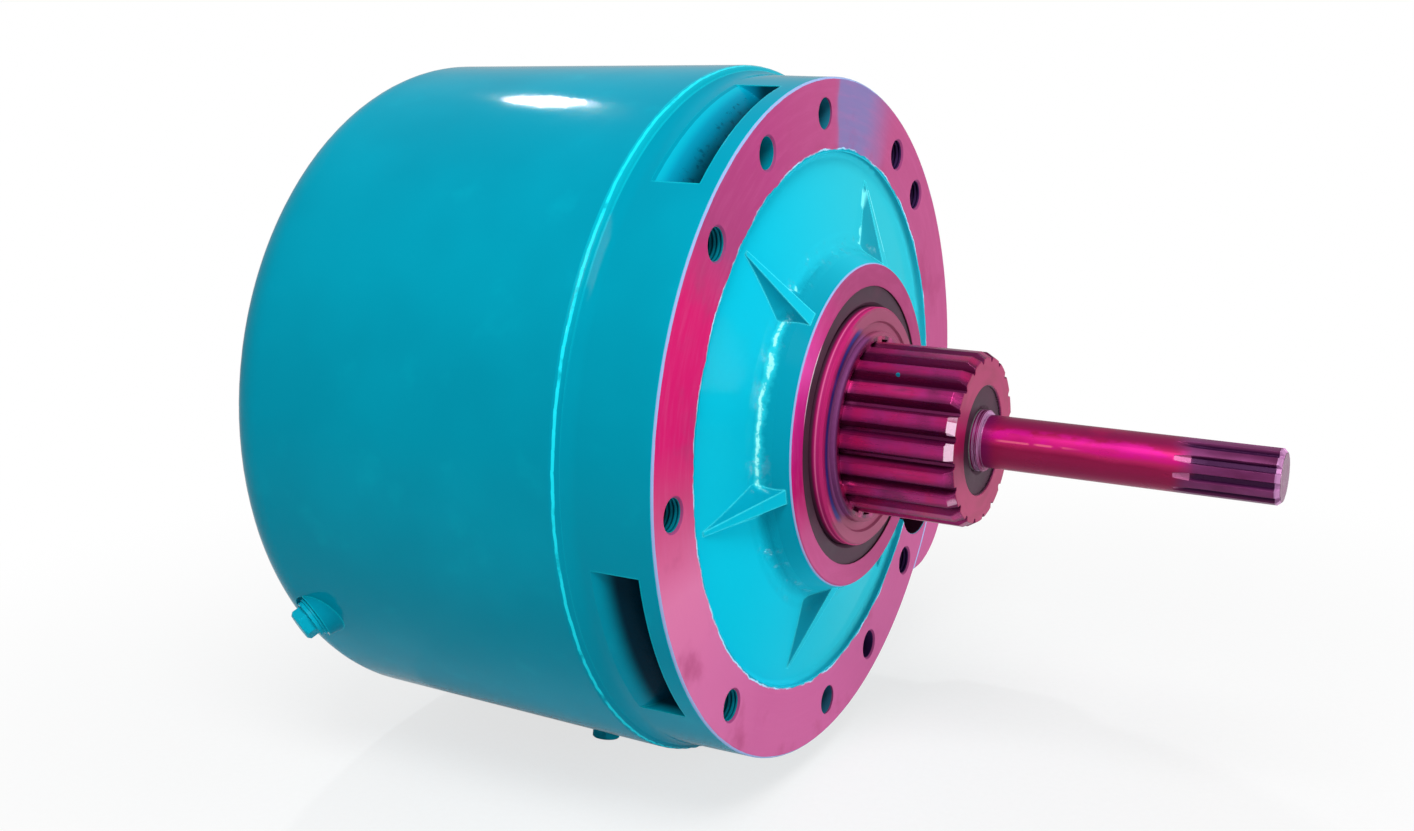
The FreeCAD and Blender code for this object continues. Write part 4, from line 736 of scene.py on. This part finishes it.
def input_shaft_finish():
    mix = Finish("lacquered_input_steel")
    x, radius, turn = mix.round_axis()
    drag = mix.streaks(22.0, 300.0, 5.0, 4.0, 0.6)
    blot = mix.streaks(40.0, 90.0, 7.0, 3.0)
    tool = mix.streaks(1800.0, 1800.0, 4.0)
    unpainted = mix.below(SEAL_FROM_X, x)

    tip_from = mix.math("ADD", x, mix.math("MULTIPLY_ADD", blot, 0.024, -0.012))
    on_tip = mix.ease(SPLINE_FROM_X - 0.004, SPLINE_FROM_X + 0.010, tip_from)
    # Light pink at the grooves' run-outs on the near side: painted highlight.
    run_out_glint = mix.all_of(mix.between(0.2035, 0.2150, x), mix.between(0.0128, 0.01485, radius),
                         mix.between(0.36, 0.62, turn), 0.8)
    chamfer = mix.all_of(mix.between(TIP_X - 0.0027, TIP_X, x), mix.above(0.0122, radius))
    rings = mix.ease(0.45, 0.55, mix.streaks(1500.0, 200.0, 1.0, 1.0))
    step = mix.all_of(mix.between(*BAR_STEP_X, x), rings)
    colour = mix.blend(on_tip, bar_colour(mix, drag, blot), tip_colour(mix, drag))
    colour = mix.blend(run_out_glint, colour, RUN_OUT_GLINT)
    colour = mix.blend(chamfer, colour, TIP_CHAMFER)
    colour = mix.blend(mix.above(TIP_X - 0.0001, x), colour, TIP_FACE)
    colour = mix.blend(step, colour, INPUT_STEP)
    colour = mix.blend(unpainted, colour, mix.blend(mix.ease(0.35, 0.7, tool), BARE_STEEL, TURNED_STEEL))

    rough = mix.ramp(drag, (0.3, 0.22), (0.7, 0.40))
    marks = mix.math("MULTIPLY_ADD", drag, 0.25, mix.all_of(tool, 0.1, unpainted))
    return mix.done(colour, rough, mix.bump(marks, 0.00012, 0.4, mix.broken_edges(0.0005)),
                    Metallic=0.3, IOR=1.25)


dress(input_shaft_finish(), "input_shaft")
dress(sun_steel, "stage1_sun")
dress(pin_steel, "sun_key")
dress(spring_steel, "sun_circlip")
dress(race_steel, "input_bearing_outer", "input_bearing_inner")
dress(roller_steel, "input_bearing_rollers")

# Shaft seals. Steel cases covered in nitrile rubber, with a sprung lip on the shaft, pressed in flush at
# the hub and in the nose of the output shaft. They caught a veil of the lacquer.

SEAL_RUBBER = (0.052, 0.025, 0.042)
SEAL_VEIL = (0.078, 0.030, 0.054)
SMALL_SEAL_RUBBER = (0.045, 0.016, 0.032)
SMALL_SEAL_VEIL = (0.070, 0.024, 0.045)
SEAL_MARK = (0.04, 0.02, 0.035)


def seal_finish(name, tone, veil):
    mix = Finish(name)
    moulding = mix.streaks(700.0, 1100.0, 2.0)
    bloom = mix.noise(38.0, 4.0)
    colour = mix.blend(mix.ease(0.45, 0.75, bloom), tone, veil)
    colour = mix.blend(mix.all_of(mix.ease(0.6, 0.8, moulding), 0.5), colour, SEAL_MARK)
    rough = mix.ramp(bloom, (0.3, 0.40), (0.7, 0.56))
    normal = mix.bump(moulding, 0.00008, 0.5, mix.broken_edges(0.0005))
    return mix.done(colour, rough, normal, IOR=1.2)


dress(seal_finish("output_seal_rubber", SEAL_RUBBER, SEAL_VEIL), "output_seal")
dress(seal_finish("input_seal_rubber", SMALL_SEAL_RUBBER, SMALL_SEAL_VEIL), "input_seal")

# Rear cover. A dished iron casting with eight ribs and a bearing pocket, let into the casing's tail on a
# rubber cord ring. Eight long cap screws with plated washers pull it and the ring gear forward.

COVER_WEB_X, COVER_SEAT_R = -0.0660, 0.1835
CORD_RUBBER = (0.010, 0.010, 0.011)
CORD_FLASH = (0.03, 0.03, 0.032)
BOLT_OXIDE = (0.028, 0.028, 0.032)
ZINC = (0.52, 0.52, 0.50)
ZINC_DULL = (0.33, 0.32, 0.28)


def cover_finish():
    mix = Finish("teal_enamel_cover")
    x, radius, _ = mix.round_axis()
    machined = mix.any_of(mix.above(COVER_WEB_X, x), mix.above(COVER_SEAT_R, radius))
    colour = enamel_colour(mix)
    dry = mix.all_of(mix.ease(0.50, 0.75, mix.noise(16.0, 5.0)), 0.35)
    colour = mix.blend(dry, colour, ENAMEL_THICK)
    colour = mix.blend(machined, colour, RAW_CASTING)
    rough = mix.ramp(mix.noise(24.0), (0.3, 0.20), (0.7, 0.34))
    sand = mix.math("ADD", mix.noise(300.0, 4.0, 0.7), mix.math("MULTIPLY", mix.noise(60.0, 2.0), 2.0))
    normal = mix.bump(sand, 0.0006, 0.35, mix.broken_edges(0.0010))
    return mix.done(colour, rough, normal, IOR=1.11)


def zinc_finish(name, tone):
    mix = Finish(name)
    spangle = mix.noise(420.0, 2.0)
    dull = mix.noise(70.0, 4.0)
    colour = mix.blend(mix.ease(0.4, 0.6, spangle), tone, tuple(v * 0.78 for v in tone))
    colour = mix.blend(mix.ease(0.58, 0.78, dull), colour, ZINC_DULL)
    rough = mix.ramp(dull, (0.3, 0.26), (0.7, 0.44))
    return mix.done(colour, rough, mix.bump(spangle, 0.00003, 0.4, mix.broken_edges(0.0003)), Metallic=0.95)


def cord_finish():
    mix = Finish("cord_ring_rubber")
    flash = mix.noise(500.0, 3.0)
    colour = mix.blend(mix.ease(0.5, 0.8, flash), CORD_RUBBER, CORD_FLASH)
    rough = mix.ramp(flash, (0.3, 0.48), (0.7, 0.62))
    return mix.done(colour, rough, mix.bump(flash, 0.00004, 0.5))


dress(cover_finish(), "rear_cover")
dress(cord_finish(), "rear_cover_oring")
dress(race_steel, "tail_bearing_outer", "tail_bearing_inner")
dress(roller_steel, "tail_bearing_rollers")
dress(phosphate_finish("black_tie_bolt_oxide", BOLT_OXIDE), "tie_bolts")
dress(zinc_finish("zinc_washer_plate", ZINC), "tie_bolt_washers")

# Oil plugs. A level plug at the lower rear corner and a drain plug underneath, hexagon-headed steel
# screws with a collar, tightened on soft bronze washers before the gearbox was sprayed.

PLUG_STEEL = (0.33, 0.33, 0.34)
WASHER_BRONZE = (0.42, 0.23, 0.08)
WORN_ROUGHNESS = (0.42, 0.42, 0.42)


def sprayed_plug_finish(name, under):
    mix = Finish(name)
    scuff = mix.noise(95.0, 5.0, 0.65)
    worn = mix.ease(0.60, 0.70, scuff)
    colour = mix.blend(worn, mix.blend(0.75, enamel_colour(mix), ENAMEL_PALE), under)
    rough = mix.blend(worn, mix.ramp(mix.noise(60.0), (0.3, 0.22), (0.7, 0.34)), WORN_ROUGHNESS)
    drips = mix.bump(mix.noise(140.0, 2.0), 0.0003, 0.45, mix.broken_edges(0.0008))
    normal = mix.bump(mix.math("MULTIPLY", worn, -1.0), 0.00008, 0.6, drips)
    mix.join(mix.math("MULTIPLY", worn, 0.8), mix.surface.inputs["Metallic"])
    return mix.done(colour, rough, normal, IOR=1.11)


dress(sprayed_plug_finish("sprayed_plug_steel", PLUG_STEEL), "level_plug", "drain_plug")
dress(sprayed_plug_finish("sprayed_washer_bronze", WASHER_BRONZE), "level_plug_washer", "drain_plug_washer")

# Studio. The gearbox rests on its drain plug over a pale paper sweep, under a soft lamp above, one in
# front of the shafts and a small one behind that gives the window-like glint on top of the body. The
# paper and the room look white, and the gloss mirrors a part of that.

FLOOR_Z = -0.2164
MIRRORED = 0.3
ROOM_LIGHT = 0.27
WHITE = (1, 1, 1, 1)
PHOTO_WIDTH, FOCAL_PIXELS, SENSOR_WIDTH = 1414, 1600, 36.0
EYE = (0.3884, -0.8414, 0.2168)
SIGHT = (29.16, 13.0)

sweep = bpy.data.meshes.new("paper_sweep")
corners = [(x, y, FLOOR_Z) for x, y in ((-6, -6), (6, -6), (6, 9), (-6, 9))]
sweep.from_pydata(corners, [], [(0, 1, 2, 3)])
paper = bpy.data.objects.new("paper_sweep", sweep)
bpy.context.scene.collection.objects.link(paper)


def lit_paper_finish():
    """Paper that keeps the gearbox's shadow near it and fades to white further off."""
    mix = Finish("white_paper")
    tooth = mix.noise(240.0, 3.0)
    mix.done(mix.ramp(tooth, (0.3, 0.78), (0.7, 0.82)), 0.85, mix.bump(tooth, 0.00005, 0.3),
             Specular_IOR_Level=0.1)
    glow = mix.add("ShaderNodeEmission", Color=WHITE, Strength=1.0)
    ray = mix.add("ShaderNodeLightPath").outputs
    looks = mix.any_of(ray["Is Camera Ray"], ray["Is Transmission Ray"],
                       mix.math("MULTIPLY", ray["Is Glossy Ray"], MIRRORED))
    fade = mix.math("MULTIPLY_ADD", mix.ease(0.25, 0.85, distance(mix, mix.place, (0, 0, 0))), 0.28, 0.72)
    shown = mix.add("ShaderNodeMixShader")
    parts = (mix.all_of(looks, fade), mix.surface.outputs[0], glow.outputs[0])
    for value, socket in zip(parts, shown.inputs):
        mix.join(value, socket)
    mix.join(shown.outputs[0], mix.tree.nodes["Material Output"].inputs["Surface"])
    return mix.material


sweep.materials.append(lit_paper_finish())

scene = bpy.context.scene
scene.view_settings.view_transform = "Standard"

room = bpy.data.worlds.new("white_room")
scene.world = room
room.use_nodes = True
tree = room.node_tree
walls = tree.nodes["Background"]
seen = tree.nodes.new("ShaderNodeBackground")
for background, strength in ((walls, ROOM_LIGHT), (seen, 1.0)):
    background.inputs["Color"].default_value = WHITE
    background.inputs["Strength"].default_value = strength
ray = tree.nodes.new("ShaderNodeLightPath").outputs
straight = tree.nodes.new("ShaderNodeMath")
straight.operation = "MAXIMUM"
mirrored = tree.nodes.new("ShaderNodeMath")
mirrored.operation = "MULTIPLY_ADD"
mirrored.inputs[1].default_value = MIRRORED
pick = tree.nodes.new("ShaderNodeMixShader")
shown = tree.nodes["World Output"].inputs["Surface"]
for start, end in ((ray["Is Camera Ray"], straight.inputs[0]),
                   (ray["Is Transmission Ray"], straight.inputs[1]),
                   (straight.outputs[0], mirrored.inputs[2]), (ray["Is Glossy Ray"], mirrored.inputs[0]),
                   (mirrored.outputs[0], pick.inputs[0]), (walls.outputs[0], pick.inputs[1]),
                   (seen.outputs[0], pick.inputs[2]), (pick.outputs[0], shown)):
    tree.links.new(start, end)


def soft_lamp(name, place, aim, size, power):
    light = bpy.data.lights.new(name, "AREA")
    light.shape = "RECTANGLE"
    light.size, light.size_y = size
    light.energy = power
    lamp = bpy.data.objects.new(name, light)
    scene.collection.objects.link(lamp)
    lamp.location = place
    lamp.rotation_euler = (Vector(aim) - Vector(place)).to_track_quat("-Z", "Y").to_euler()


soft_lamp("lamp_above", (0.35, -0.80, 1.15), (-0.05, 0, 0), (0.8, 0.5), 18)
soft_lamp("lamp_in_front", (1.3, 0.6, -0.12), (0, 0, 0), (0.6, 0.6), 23)
soft_lamp("lamp_behind", (-0.83, 0.53, 0.95), (-0.14, -0.08, 0.19), (0.072, 0.065), 5)

lens = bpy.data.cameras.new("camera")
lens.sensor_width = SENSOR_WIDTH
lens.lens = SENSOR_WIDTH * FOCAL_PIXELS / PHOTO_WIDTH
lens.clip_start = 0.05
camera = bpy.data.objects.new("camera", lens)
scene.collection.objects.link(camera)
camera.location = EYE
azimuth, elevation = (math.radians(angle) for angle in SIGHT)
level = math.cos(elevation)
sight = Vector((-math.sin(azimuth) * level, math.cos(azimuth) * level, -math.sin(elevation)))
camera.rotation_euler = sight.to_track_quat("-Z", "Y").to_euler()
scene.camera = camera
